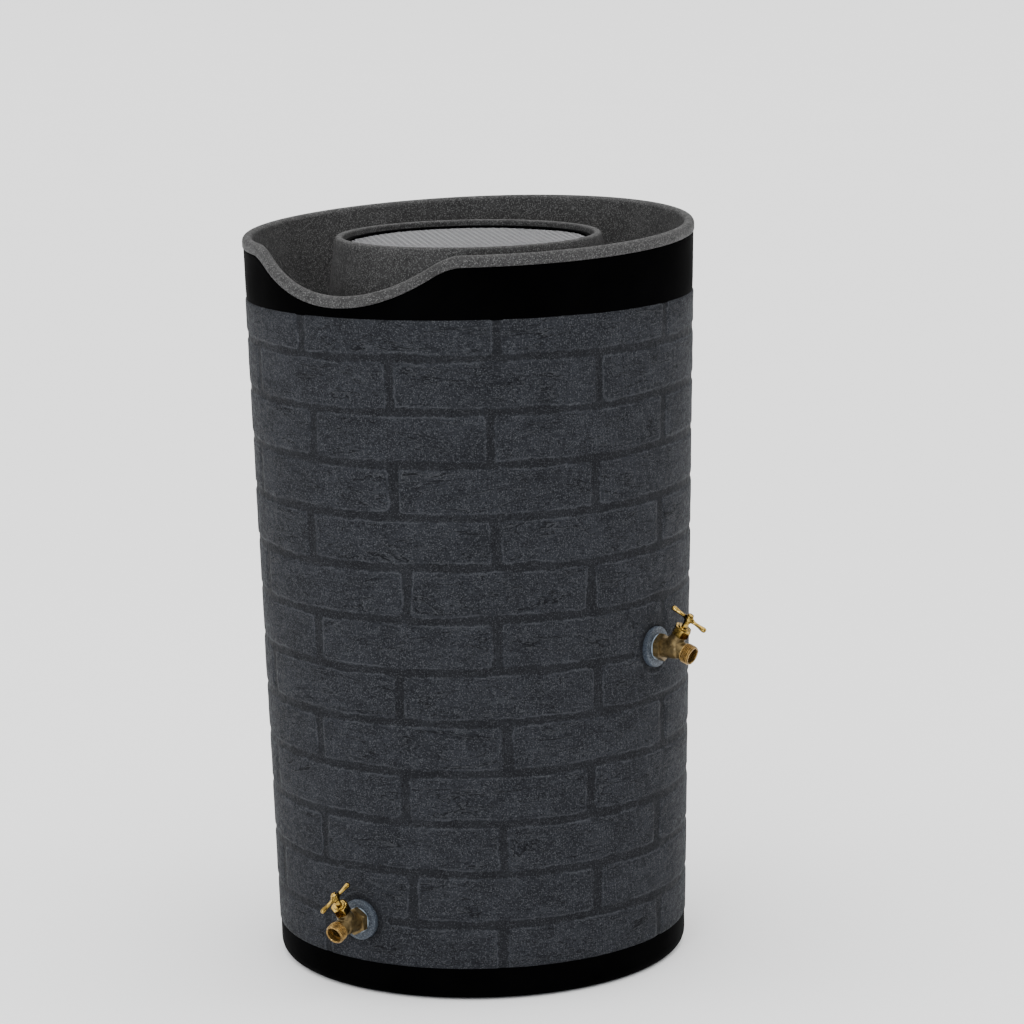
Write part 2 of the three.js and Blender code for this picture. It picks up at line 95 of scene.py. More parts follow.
RIM_ABOVE_SLEEVE = 66 * MM
BACK_RISE = 20 * MM
DIP_DEPTH = 54 * MM
DIP_HALF_ANGLE = math.radians(30)
DIP_CORNER = 0.25

LIP_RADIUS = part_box("planter_ring")[1].x
LIP_HEIGHT = 15 * MM
LIP_WIDTH = 14.5 * MM
PLANTER_THICK = 4.2 * MM
PLANTER_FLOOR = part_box("planter_ring")[0].z + PLANTER_THICK
TROUGH_RADIUS = 268 * MM
COLLAR_TOP = PLANTER_FLOOR + 140 * MM
COLLAR_TOP_RADIUS = 179 * MM
COLLAR_FOOT_RADIUS = 197 * MM
SEAT_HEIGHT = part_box("screen_frame")[0].z - FIT
SEAT_RADIUS = 167.5 * MM
THROAT_RADIUS = 156 * MM
DRAIN_HOLES = 8
DRAIN_RADIUS = 4 * MM
DRAIN_CIRCLE = 230 * MM

AROUND_BARREL = 480
COUNTER = np.linspace(-math.pi, math.pi, AROUND_BARREL, endpoint=False)


def wall_radius(z):
    """Outer face of the sleeve at a height."""
    return BOTTOM_RADIUS + (z - SLEEVE_BOTTOM) * (TOP_RADIUS - BOTTOM_RADIUS) / SLEEVE_HEIGHT


def tank_radius(z):
    return wall_radius(z) - SLEEVE_THICK - SLEEVE_GAP


def smooth(low, high, x):
    """0 below low, 1 above high, and a smooth step between them."""
    t = np.clip((x - low) / (high - low), 0, 1)
    return t * t * (3 - 2 * t)


def soft_min(a, b, width):
    """The lower of two values, with a rounded corner where they cross."""
    h = np.clip(0.5 + (b - a) / (2 * width), 0, 1)
    return b * (1 - h) + a * h - width * h * (1 - h)


def rim_height(angle):
    """Height of the tank's top edge at an angle from the front, positive towards +X."""
    turn = (np.asarray(angle) + math.pi) % (2 * math.pi) - math.pi
    towards_back = ((1 - np.cos(turn)) / 2) ** 1.5
    out_of_dip = soft_min((turn / DIP_HALF_ANGLE) ** 2, 1.0, DIP_CORNER)
    return SLEEVE_TOP + RIM_ABOVE_SLEEVE + BACK_RISE * towards_back - DIP_DEPTH * (1 - out_of_dip)


# ---------------------------------------------------------------- mesh helpers


def mesh_from(name, points, faces):
    """A mesh from an array of points and an array of faces that all have as many corners."""
    faces = np.asarray(faces, np.int32)
    mesh = bpy.data.meshes.new(name)
    mesh.vertices.add(len(points))
    mesh.vertices.foreach_set("co", np.asarray(points, np.float32).ravel())
    mesh.loops.add(faces.size)
    mesh.loops.foreach_set("vertex_index", faces.ravel())
    mesh.polygons.add(len(faces))
    mesh.polygons.foreach_set("loop_start", np.arange(0, faces.size, faces.shape[1], dtype=np.int32))
    mesh.update(calc_edges=True)
    return mesh


def grid_faces(rows, columns, wrap_rows=True, wrap_columns=True):
    """Quads of a grid whose point (i, j) is number i * columns + j."""
    i = np.arange(rows if wrap_rows else rows - 1)
    j = np.arange(columns if wrap_columns else columns - 1)
    i, j = (a.ravel() for a in np.meshgrid(i, j, indexing="ij"))
    up, right = (i + 1) % rows, (j + 1) % columns
    return np.stack([i * columns + j, up * columns + j, up * columns + right, i * columns + right], 1)


def cleaned(mesh, gap=2e-6):
    """Merges doubled points, drops faces with no area and turns the rest outwards."""
    work = bmesh.new()
    work.from_mesh(mesh)
    bmesh.ops.remove_doubles(work, verts=work.verts, dist=gap)
    bmesh.ops.dissolve_degenerate(work, edges=work.edges, dist=gap / 4)
    bmesh.ops.recalc_face_normals(work, faces=work.faces)
    work.to_mesh(mesh)
    work.free()
    return mesh


def ring_mesh(name, turn, radius, height):
    """A closed solid round Z from radii and heights as (angle, outline point) arrays."""
    turn = np.asarray(turn)[:, None]
    radius, height = np.broadcast_arrays(radius, height)
    points = np.stack([radius * np.sin(turn), -radius * np.cos(turn), height], 2).reshape(-1, 3)
    return cleaned(mesh_from(name, points, grid_faces(*radius.shape)))


def revolved(name, outline, around=64):
    """A closed outline of (radius, z) points turned about Z. Points at radius 0 close it."""
    outline = np.asarray(outline, float)
    turn = np.linspace(0, 2 * math.pi, around, endpoint=False)
    shape = (around, len(outline))
    radius = np.broadcast_to(outline[:, 0], shape)
    height = np.broadcast_to(outline[:, 1], shape)
    return ring_mesh(name, turn, radius, height)


def rounded(corners, steps=4):
    """A closed outline of (r, z, corner radius) corners as (r, z) points with its corners rounded."""
    corners = np.asarray(corners, float)
    outline = []
    for k in range(len(corners)):
        here = corners[k, :2]
        before = corners[k - 1, :2] - here
        after = corners[(k + 1) % len(corners), :2] - here
        wanted = corners[k, 2]
        if wanted <= 0:
            outline.append(here)
            continue
        back, ahead = np.linalg.norm(before), np.linalg.norm(after)
        half = math.acos(float(np.clip(before @ after / (back * ahead), -1, 1))) / 2
        reach = min(wanted / math.tan(half), 0.48 * back, 0.48 * ahead)
        start, end = here + before / back * reach, here + after / ahead * reach
        for share in np.linspace(0, 1, steps + 1):
            outline.append((1 - share) ** 2 * start + 2 * share * (1 - share) * here + share ** 2 * end)
    return np.array(outline)


def rod(name, radius, low, high, around=64, bevel=0.0):
    corners = [(0, low, 0), (radius, low, bevel), (radius, high, bevel), (0, high, 0)]
    return revolved(name, rounded(corners, 3), around)


def tube(name, inner, outer, low, high, around=64, bevel=0.0):
    corners = [(inner, low), (outer, low), (outer, high), (inner, high)]
    return revolved(name, rounded([(r, z, bevel) for r, z in corners], 3), around)


def box(name, size, centre):
    """A box of a size about a centre."""
    corners = np.array([(x, y, z) for x in (-1, 1) for y in (-1, 1) for z in (-1, 1)]) * 0.5
    faces = [(0, 1, 3, 2), (4, 6, 7, 5), (0, 4, 5, 1), (2, 3, 7, 6), (0, 2, 6, 4), (1, 5, 7, 3)]
    return cleaned(mesh_from(name, corners * np.array(size) + np.array(centre), faces))


def hexagon(name, across_flats, low, high, chamfer):
    """A hexagonal nut blank about Z with its corners chamfered at both ends."""
    corner = across_flats / math.sqrt(3)
    turn = np.arange(6) * math.pi / 3
    ends = np.array([low, high, high, low])
    radii = np.array([corner, corner, 0, 0])
    blank = ring_mesh(name, turn, np.tile(radii, (6, 1)), np.tile(ends, (6, 1)))
    waist = rounded(
        [
            (0, low, 0),
            (corner - chamfer, low, 0),
            (corner + 0.01 * MM, low + chamfer * 0.6, 0),
            (corner + 0.01 * MM, high - chamfer * 0.6, 0),
            (corner - chamfer, high, 0),
            (0, high, 0),
        ]
    )
    return combined(name, blank, [revolved(name + "_waist", waist, 96)], "INTERSECT")


def applied(made):
    """The mesh of an object with its modifiers applied. The object goes."""
    graph = bpy.context.evaluated_depsgraph_get()
    graph.update()
    result = bpy.data.meshes.new_from_object(made.evaluated_get(graph), depsgraph=graph)
    bpy.data.objects.remove(made)
    return result


def loose_object(name, mesh):
    made = bpy.data.objects.new(name, mesh)
    bpy.context.scene.collection.objects.link(made)
    return made


def combined(name, base, others, operation):
    """A mesh joined with, cut by or kept inside other meshes."""
    made = loose_object(name, base)
    helpers = [loose_object(name + "_tool", other) for other in others]
    for helper in helpers:
        step = made.modifiers.new("step", "BOOLEAN")
        step.operation = operation
        step.solver = "MANIFOLD"
        step.object = helper
    result = applied(made)
    for helper in helpers:
        bpy.data.objects.remove(helper)
    return result


def melted(name, mesh, voxel, passes):
    """A mesh with its inner corners filled and its edges softened, as in a casting."""
    made = loose_object(name, mesh)
    remesh = made.modifiers.new("voxels", "REMESH")
    remesh.mode = "VOXEL"
    remesh.voxel_size = voxel
    relax = made.modifiers.new("relax", "SMOOTH")
    relax.factor = 0.5
    relax.iterations = passes
    return applied(made)


def placed(mesh, matrix):
    mesh.transform(matrix)
    return mesh


def piece(name, mesh, look, body, sharp=35):
    """A piece of the object that rides on a body and stands for the CAD node of its name."""
    # The CAD's materials have the same names, so Blender adds a dot and a number to these.
    made = loose_object(name, mesh)
    if MACHINED not in list(mesh.materials):
        mesh.materials.clear()
        mesh.materials.append(look)
    mesh.polygons.foreach_set("use_smooth", np.ones(len(mesh.polygons), bool))
    mesh.set_sharp_from_angle(angle=math.radians(sharp))
    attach(made, body)
    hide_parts(name)


def value_noise(points, cell, seed):
    """Smooth noise between -1 and 1 at an (n, 3) array of points, one value per cell corner."""
    scaled = np.asarray(points) / np.asarray(cell)
    base = np.floor(scaled).astype(np.int64)
    part = scaled - base
    part = part * part * (3 - 2 * part)
    total = np.zeros(len(scaled))
    for corner in np.ndindex(2, 2, 2):
        at = base + np.array(corner)
        mixed = (at[:, 0] * 73856093) ^ (at[:, 1] * 19349663) ^ (at[:, 2] * 83492791) ^ (seed * 40503)
        mixed = ((mixed ^ (mixed >> 13)) * 1274126177) & 0xFFFFFFFF
        value = ((mixed ^ (mixed >> 16)) & 0xFFFF) / 32767.5 - 1
        weight = np.prod(np.where(np.array(corner) == 1, part, 1 - part), axis=1)
        total += value * weight
    return total


# ---------------------------------------------------------------- materials


class Look:
    """A procedural material, with short helpers for its nodes."""

    def __init__(self, name):
        self.material = bpy.data.materials.new(name)
        self.material.use_nodes = True
        self.tree = self.material.node_tree
        self.tree.nodes.clear()
        self.shader = self.node("ShaderNodeBsdfPrincipled")
        output = self.node("ShaderNodeOutputMaterial")
        self.link(self.shader.outputs[0], output.inputs[0])
        self.place = self.node("ShaderNodeTexCoord").outputs["Object"]

    def node(self, kind, **settings):
        made = self.tree.nodes.new(kind)
        for key, value in settings.items():
            setattr(made, key, value)
        return made

    def link(self, source, target):
        self.tree.links.new(source, target)

    def put(self, socket, value):
        """Links a node's output to a socket, or sets a number or a colour on it."""
        if isinstance(value, bpy.types.NodeSocket):
            self.link(value, socket)
        elif isinstance(value, tuple):
            socket.default_value = (*value, 1.0)
        else:
            socket.default_value = value

    def stretched(self, x, y, z):
        made = self.node("ShaderNodeMapping")
        self.link(self.place, made.inputs["Vector"])
        made.inputs["Scale"].default_value = (x, y, z)
        return made.outputs[0]

    def noise(self, scale, detail=3.0, roughness=0.55, place=None, distortion=0.0):
        made = self.node("ShaderNodeTexNoise")
        self.link(place or self.place, made.inputs["Vector"])
        made.inputs["Scale"].default_value = scale
        made.inputs["Detail"].default_value = detail
        made.inputs["Roughness"].default_value = roughness
        made.inputs["Distortion"].default_value = distortion
        return made.outputs["Fac"]

    def math(self, operation, a, b=0.0):
        made = self.node("ShaderNodeMath", operation=operation)
        self.put(made.inputs[0], a)
        self.put(made.inputs[1], b)
        return made.outputs[0]

    def times(self, a, b):
        return self.math("MULTIPLY", a, b)

    def remap(self, value, low, high, to_low=0.0, to_high=1.0):
        """A smooth step of a value between two levels."""
        made = self.node("ShaderNodeMapRange", interpolation_type="SMOOTHSTEP")
        self.put(made.inputs["Value"], value)
        keys = ("From Min", "From Max", "To Min", "To Max")
        for key, number in zip(keys, (low, high, to_low, to_high)):
            made.inputs[key].default_value = number
        return made.outputs[0]

    def mix(self, share, a, b, blend="MIX"):
        made = self.node("ShaderNodeMix", data_type="RGBA", blend_type=blend)
        self.put(made.inputs["Factor"], share)
        self.put(made.inputs[6], a)
        self.put(made.inputs[7], b)
        return made.outputs[2]

    def attribute(self, name):
        return self.node("ShaderNodeAttribute", attribute_name=name).outputs["Fac"]

    def bump(self, height, distance, strength=1.0, under=None):
        made = self.node("ShaderNodeBump")
        self.link(height, made.inputs["Height"])
        made.inputs["Distance"].default_value = distance
        made.inputs["Strength"].default_value = strength
        if under is not None:
            self.link(under, made.inputs["Normal"])
        return made.outputs[0]

    def grains(self, scale, share, edge):
        """Mask of a share of the cells of a cell pattern, each a rounded grain of its own strength."""
        cells = self.node("ShaderNodeTexVoronoi", feature="F1")
        self.link(self.place, cells.inputs["Vector"])
        cells.inputs["Scale"].default_value = scale
        split = self.node("ShaderNodeSeparateColor")
        self.link(cells.outputs["Color"], split.inputs[0])
        chosen = self.remap(split.outputs[0], 1 - share, 1.0)
        body = self.remap(cells.outputs["Distance"], edge, edge * 0.35)
        return self.times(chosen, body)

    def flecked(self, base, light, dark, light_share, dark_share):
        """A ground colour with fine light and dark flecks, as in granite-coloured polyethylene."""
        cloud = self.remap(self.noise(24.0, 6.0, 0.65), 0.3, 0.7)
        ground = self.mix(cloud, tuple(0.78 * c for c in base), tuple(1.22 * c for c in base))
        ground = self.mix(self.grains(FLECK_SCALE * 0.7, dark_share, 0.75), ground, dark)
        ground = self.mix(self.grains(FLECK_SCALE, light_share, 0.7), ground, light)
        large = self.times(self.grains(FLECK_SCALE * 0.6, light_share * 0.4, 0.5), 0.8)
        return self.mix(large, ground, light)

    def finish(self, color, roughness, normal=None, **constants):
        inputs = self.shader.inputs
        self.put(inputs["Base Color"], color)
        self.put(inputs["Roughness"], roughness)
        if normal is not None:
            self.link(normal, inputs["Normal"])
        for key, value in constants.items():
            inputs[key.replace("_", " ")].default_value = value
        return self.material


FLECK_SCALE = 720.0


def black_plastic():
    """Smooth black polyethylene with faint mould marks."""
    look = Look("black_plastic")
    wide = look.noise(12.0, 3.0)
    color = look.mix(look.remap(wide, 0.3, 0.75), (0.0005, 0.0005, 0.0006), (0.0010, 0.0010, 0.0011))
    roughness = look.remap(look.noise(9.0, 5.0), 0.3, 0.75, 0.46, 0.6)
    normal = look.bump(look.noise(420.0, 2.0), 0.00006, 0.4, look.bump(wide, 0.002, 0.2))
    return look.finish(color, roughness, normal, IOR=1.03)


def brick_granite():
    """Dark granite-flecked polyethylene: darker in the joints, with painted shade in the recess round each
    fitting, a painted highlight along brick edges and painted light and shade on the layer steps.
    """
    look = Look("brick_granite")
    ragged = look.times(look.math("SUBTRACT", look.noise(120.0, 4.0), 0.5), 7 * MM)
    inside = look.math("ADD", look.attribute("from_joint_and_recess_shade"), ragged)
    # Darker joint colour. Round each fitting it is also painted shade in the recess.
    joint = look.remap(inside, 1.4 * MM, -1.6 * MM)
    # Painted highlight: a lighter band along the edges of the brick faces and round the edge of each
    # fitting's recess.
    rim = look.times(look.remap(inside, 0.2 * MM, 1.2 * MM), look.remap(inside, 3.6 * MM, 1.6 * MM))
    rim = look.times(rim, look.remap(look.noise(30.0, 3.0), 0.4, 0.62))
    face = look.flecked((0.0157, 0.0168, 0.0200), (0.062, 0.065, 0.071), (0.0055, 0.0060, 0.0074), 0.5, 0.5)
    streak = look.noise(34.0, 5.0, 0.68, look.stretched(1, 1, 4.5), 0.8)
    face = look.mix(look.remap(streak, 0.56, 0.70, 0.0, 0.42), face, (0.040, 0.043, 0.048))
    face = look.mix(look.remap(streak, 0.44, 0.32, 0.0, 0.6), face, (0.0066, 0.0072, 0.0088))
    low = look.flecked((0.0108, 0.0115, 0.0133), (0.037, 0.038, 0.042), (0.0044, 0.0047, 0.0057), 0.4, 0.45)
    grain = look.noise(7.0, 5.0, 0.58, look.stretched(1, 1, 4.2), 0.5)
    layers = look.math("FRACT", look.times(grain, 5.5))
    patch = look.remap(look.noise(11.0, 3.0, place=look.stretched(1, 1, 2.0)), 0.28, 0.5)
    patch = look.times(patch, look.remap(inside, 1.5 * MM, 5 * MM))
    # Painted shade at the foot of each layer step and painted highlight (lit) at its crest.
    crease_shade = look.times(look.remap(layers, 0.11, 0.02), patch)
    lit = look.times(look.remap(layers, 0.90, 0.99), patch)
    color = look.mix(look.times(lit, 0.45), face, (0.044, 0.046, 0.050))
    # Paints the highlight along brick edges and recess edges.
    color = look.mix(look.times(rim, 0.42), color, (0.054, 0.057, 0.064))
    color = look.mix(look.times(joint, 0.85), color, low)
    # Paints the shade into the creases of the layer steps.
    color = look.mix(look.times(crease_shade, 0.8), color, (0.0038, 0.0042, 0.0052))
    slate = look.times(layers, patch)
    surface = look.math("ADD", look.times(grain, 1.5), look.times(slate, 0.35))
    normal = look.bump(surface, 0.0024, 0.7, look.bump(look.noise(600.0, 2.0), 0.0004, 0.6))
    roughness = look.remap(look.noise(160.0, 2.0), 0.3, 0.7, 0.55, 0.75)
    return look.finish(color, roughness, normal, IOR=1.12)


def planter_granite():
    """Grey granite-flecked polyethylene of the planter."""
    look = Look("planter_granite")
    color = look.flecked((0.029, 0.0285, 0.0285), (0.12, 0.119, 0.118), (0.0085, 0.0085, 0.0088), 0.6, 0.5)
    wide = look.bump(look.noise(30.0, 3.0), 0.0012, 0.35)
    normal = look.bump(look.noise(600.0, 2.0), 0.0002, 0.6, wide)
    roughness = look.remap(look.noise(120.0, 2.0), 0.3, 0.7, 0.55, 0.75)
    return look.finish(color, roughness, normal, IOR=1.25)


def pad_granite():
    """Blue-grey granite-flecked disc behind each bibb."""
    look = Look("pad_granite")
    color = look.flecked((0.033, 0.042, 0.056), (0.11, 0.126, 0.145), (0.010, 0.013, 0.019), 0.5, 0.5)
    normal = look.bump(look.noise(350.0, 3.0), 0.0006, 0.7)
    roughness = look.remap(look.noise(120.0, 2.0), 0.3, 0.7, 0.45, 0.65)
    return look.finish(color, roughness, normal, IOR=1.35)


def brass(name, base, dark_reflection, roughness, grain, depth, metallic):
    """Brass with dark reflections painted in patches, and the grain of casting, cutting or polishing."""
    look = Look(name)
    # Painted reflections: dark patches mixed into the base colour.
    color = look.mix(look.remap(look.noise(160.0, 3.0), 0.42, 0.62), base, dark_reflection)
    rough = look.remap(look.noise(260.0, 3.0), 0.3, 0.7, roughness * 0.8, roughness * 1.25)
    normal = look.bump(look.noise(grain, 3.0), depth, 0.6)
    return look.finish(color, rough, normal, Metallic=metallic)


def moulded(name, low, high, roughness):
    """Moulded plastic or rubber with faint mottling."""
    look = Look(name)
    color = look.mix(look.remap(look.noise(90.0, 3.0), 0.3, 0.7), low, high)
    rough = look.remap(look.noise(200.0, 2.0), 0.3, 0.7, roughness * 0.9, roughness * 1.1)
    normal = look.bump(look.noise(900.0, 2.0), 0.0001, 0.5)
    return look.finish(color, rough, normal)


def screen_wire():
    """Drawn stainless wire with faint streaks."""
    look = Look("screen_wire")
    color = look.mix(look.noise(300.0, 2.0), (0.3, 0.3, 0.31), (0.46, 0.46, 0.47))
    rough = look.remap(look.noise(500.0, 2.0), 0.3, 0.7, 0.28, 0.45)
    return look.finish(color, rough, Metallic=1.0)


BLACK = black_plastic()
BRICK = brick_granite()
PLANTER = planter_granite()
PAD = pad_granite()
# The second colour of each brass is the dark of its painted reflections.
CAST = brass("cast_brass", (0.140, 0.098, 0.040), (0.080, 0.055, 0.022), 0.38, 900.0, 0.0002, 0.78)
BRIGHT = brass("bright_brass", (0.370, 0.245, 0.062), (0.115, 0.073, 0.017), 0.10, 250.0, 0.00002, 1.0)
MACHINED = brass("machined_brass", (0.250, 0.152, 0.043), (0.150, 0.090, 0.027), 0.22, 500.0, 0.00002, 0.75)
WHITE = moulded("white_plastic", (0.19, 0.24, 0.29), (0.25, 0.30, 0.35), 0.5)
RUBBER = moulded("black_rubber", (0.012, 0.012, 0.012), (0.022, 0.022, 0.021), 0.75)
WIRE = screen_wire()

# ---------------------------------------------------------------- fittings' places on the wall

PAD_PROUD = 2 * MM
PAD_RADIUS = 27 * MM
SHANK_RADIUS = 13.2 * MM
SHANK_LENGTH = 26 * MM
SHANK_HOLE = 14 * MM
OVERFLOW_TAIL = 35 * MM


def wall_frame(distance, height, turn):
    """A fitting's own frame: the origin on its outer seat, -Y out of the barrel and +Z up."""
    spot = Vector((distance * math.sin(turn), -distance * math.cos(turn), height))
    return Matrix.Translation(spot) @ Matrix.Rotation(turn, 4, "Z")


lower_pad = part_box("lower_spigot_pad")
upper_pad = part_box("upper_spigot_pad")
overflow_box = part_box("overflow_spout")
LOWER = wall_frame(-lower_pad[0].y, (lower_pad[0].z + lower_pad[1].z) / 2, 0)
UPPER = wall_frame(upper_pad[1].x, (upper_pad[0].z + upper_pad[1].z) / 2, math.pi / 2)
overflow_height = (overflow_box[0].z + overflow_box[1].z) / 2
OVERFLOW = wall_frame(overflow_box[1].y - OVERFLOW_TAIL, overflow_height, math.pi)
FITTINGS = (LOWER, UPPER, OVERFLOW)

# Turns a shape made about +Z so that its +Z points out of the wall.
OUTWARDS = Matrix.Rotation(math.pi / 2, 4, "X")


def wall_hole(name, frame, radius, around=64):
    return placed(rod(name, radius, -40 * MM, 25 * MM, around), frame @ OUTWARDS)


# ---------------------------------------------------------------- tank


def tank_shell():
    """Black vessel: flat floor, rounded foot, a recess for the sleeve and an open neck."""
    foot = BOTTOM_RADIUS - FOOT_INSET
    shelf = SLEEVE_BOTTOM - FIT
    step = SLEEVE_TOP + FIT
    neck = wall_radius(step) - NECK_INSET
    inner = tank_radius(SLEEVE_BOTTOM) - TANK_THICK
    fixed = rounded(
        [
            (0, 0, 0),
            (foot, 0, FOOT_FILLET),
            (foot, shelf, 1.5 * MM),
            (tank_radius(shelf), shelf, 0),
            (tank_radius(step), step, 0),
            (neck, step, 1.5 * MM),
        ],
        6,
    )
    inside = rounded(
        [
            (neck - TANK_THICK, step + TANK_THICK, 3 * MM),
            (tank_radius(step) - TANK_THICK, step - 2 * TANK_THICK, 3 * MM),
            (inner, FLOOR_THICK, FOOT_FILLET),
            (0, FLOOR_THICK, 0),
        ],
        6,
    )
    rim = rim_height(COUNTER)[:, None] - FIT
    edge = 1.6 * MM
    quarter = np.linspace(0, math.pi / 2, 5)
    out_radius = wall_radius(rim) - NECK_INSET - edge + edge * np.cos(quarter)
    out_height = rim - edge + edge * np.sin(quarter)
    in_radius = wall_radius(rim) - NECK_INSET - TANK_THICK + edge - edge * np.sin(quarter)
    in_height = rim - edge + edge * np.cos(quarter)
    rise = np.linspace(0.2, 0.9, 5)
    up_height = step + (rim - edge - step) * rise
    down_height = step + (rim - edge - step) * rise[::-1]
    shape = (AROUND_BARREL, 1)
    radius = [
        np.tile(fixed[:, 0], shape),
        wall_radius(up_height) - NECK_INSET,
        out_radius,
        in_radius,
        wall_radius(down_height) - NECK_INSET - TANK_THICK,
        np.tile(inside[:, 0], shape),
    ]
    height = [
        np.tile(fixed[:, 1], shape),
        up_height,
        out_height,
        in_height,
        down_height,
        np.tile(inside[:, 1], shape),
    ]
    vessel = ring_mesh("tank_shell", COUNTER, np.hstack(radius), np.hstack(height))
    holes = [wall_hole("shank_hole", place, SHANK_HOLE) for place in FITTINGS]
    return combined("tank_shell", vessel, holes, "DIFFERENCE")


# ---------------------------------------------------------------- brick sleeve

TOP_COURSE = 50 * MM
BOTTOM_COURSE = 60 * MM
FULL_COURSES = 11
COURSE = (SLEEVE_HEIGHT - TOP_COURSE - BOTTOM_COURSE) / FULL_COURSES
LEVEL_HALF = 5 * MM
UPRIGHT_HALF = 6.2 * MM
JOINT_DEPTH = 1.7 * MM
BEVEL = 3.2 * MM
CORNER = 5 * MM
BRICKS_AROUND = 7
WINDOW = 27.6 * MM
BRICK_COLUMNS = 488


def course_lines():
    """Heights of the level joints, from the top down."""
    return [SLEEVE_TOP - TOP_COURSE - k * COURSE for k in range(FULL_COURSES + 1)]


def upright_joints(course, random):
    """Angles of a course's upright joints. Odd and even courses are half a brick apart."""
    pitch = 2 * math.pi / BRICKS_AROUND
    start = math.radians(-10.0 if course % 2 == 0 else 16.0)
    return start + pitch * np.arange(BRICKS_AROUND) + random.uniform(-0.035, 0.035, BRICKS_AROUND)


def brick_rows():
    """Heights of the mesh rows: close together round each level joint, and sparse on the faces."""
    close = np.array([-11, -8.5, -6.5, -5, -3, 0, 3, 5, 6.5, 8.5, 11]) * MM
    lines = course_lines()
    rows = [SLEEVE_BOTTOM, SLEEVE_BOTTOM + 1.2 * MM, SLEEVE_BOTTOM + 3 * MM]
    rows += [SLEEVE_TOP, SLEEVE_TOP - 1.2 * MM, SLEEVE_TOP - 3 * MM]
    for line in lines:
        rows += list(line + close)
    faces = [SLEEVE_TOP - 3 * MM] + [line + side * close[-1] for line in lines for side in (1, -1)]
    faces += [SLEEVE_BOTTOM + 3 * MM]
    for high, low in zip(faces[::2], faces[1::2]):
        rows += list(np.linspace(high, low, 6)[1:-1])
    return np.unique(np.round(rows, 6))


def brick_sleeve():
    """The skin with courses of worn bricks moulded into its face."""
    random = np.random.default_rng(11)
    turn = np.linspace(-math.pi, math.pi, BRICK_COLUMNS, endpoint=False)
    rows = brick_rows()
    angle, height = np.meshgrid(turn, rows, indexing="ij")
    radius = wall_radius(height)
    spots = np.stack([radius * np.sin(angle), -radius * np.cos(angle), height], 2).reshape(-1, 3)
    shape = angle.shape

    lines = np.array(course_lines())
    wave = value_noise(spots, 95 * MM, 3) * 2.2 * MM + value_noise(spots, 40 * MM, 4) * 1.1 * MM
    wave = wave.reshape(shape)
    swing = value_noise(spots, 70 * MM, 9).reshape(shape) * 2.4 * MM
    spread = value_noise(spots, 48 * MM, 6).reshape(shape) * 1.5 * MM
    ragged = value_noise(spots, 13 * MM, 5).reshape(shape) * 0.9 * MM
    from_level = np.abs(height[..., None] + wave[..., None] - lines).min(2) - LEVEL_HALF
    course = (height[..., None] + wave[..., None] < lines).sum(2)
    from_upright = np.full(shape, 1.0)
    lift = np.zeros(shape)
    for number in range(len(lines) + 1):
        joints = upright_joints(number, random)
        apart = angle[..., None] + (swing / radius)[..., None] - joints
        apart = (apart + math.pi) % (2 * math.pi) - math.pi
        here = course == number
        from_upright[here] = (np.abs(apart).min(2) * radius)[here] - UPRIGHT_HALF
        brick = np.where(apart <= 0, apart + 2 * math.pi, apart).argmin(2)
        lift[here] = (random.uniform(0, 0.5, BRICKS_AROUND) * MM)[brick[here]]
    from_joint_and_recess_shade = soft_min(from_level, from_upright, CORNER) + spread + ragged
    edge = np.minimum(SLEEVE_TOP - height, height - SLEEVE_BOTTOM)

    face = smooth(-1 * MM, BEVEL, from_joint_and_recess_shade)
    swell = value_noise(spots, (50 * MM, 50 * MM, 16 * MM), 7).reshape(shape)
    depth = JOINT_DEPTH * (1 - face) + (0.3 * MM * (1 - swell) + lift) * face
    depth = depth + 1.2 * MM * (1 - smooth(0, 2.5 * MM, edge))
    for place in FITTINGS:
        away = np.linalg.norm(spots - np.array(place.translation), axis=1).reshape(shape)
        dish = 1 - smooth(WINDOW + 5 * MM, WINDOW + 11 * MM, away)
        depth = depth * (1 - dish) + 3.1 * MM * dish
        flat = 1 - smooth(WINDOW + 9 * MM, WINDOW + 22 * MM, away)
        from_joint_and_recess_shade = from_joint_and_recess_shade * (1 - flat) + 9 * MM * flat
        # Painted shade: inside the recess round each fitting the value drops below zero, so the darker
        # joint colour is painted there.
        from_joint_and_recess_shade = np.minimum(from_joint_and_recess_shade, away - (WINDOW + 8 * MM))
    depth = np.clip(depth, 0.02 * MM, SLEEVE_THICK - 0.4 * MM)

    back = np.linspace(SLEEVE_TOP, SLEEVE_BOTTOM, 5)
    back_radius = np.tile(wall_radius(back) - SLEEVE_THICK, (BRICK_COLUMNS, 1))
    outline = np.hstack([radius - depth, back_radius])
    heights = np.hstack([height, np.tile(back, (BRICK_COLUMNS, 1))])
    around = turn[:, None]
    points = np.stack([outline * np.sin(around), -outline * np.cos(around), heights], 2).reshape(-1, 3)
    mesh = mesh_from("brick_sleeve", points, grid_faces(*outline.shape))
    marks = mesh.attributes.new("from_joint_and_recess_shade", "FLOAT", "POINT")
    padded = np.hstack([from_joint_and_recess_shade, np.full(back_radius.shape, 30 * MM)])
    marks.data.foreach_set("value", padded.astype(np.float32).ravel())
    work = bmesh.new()
    work.from_mesh(mesh)
    bmesh.ops.recalc_face_normals(work, faces=work.faces)
    work.to_mesh(mesh)
    work.free()
    windows = [wall_hole("window", place, WINDOW, 96) for place in FITTINGS]
    return combined("brick_sleeve", mesh, windows, "DIFFERENCE")


# ---------------------------------------------------------------- planter and screen


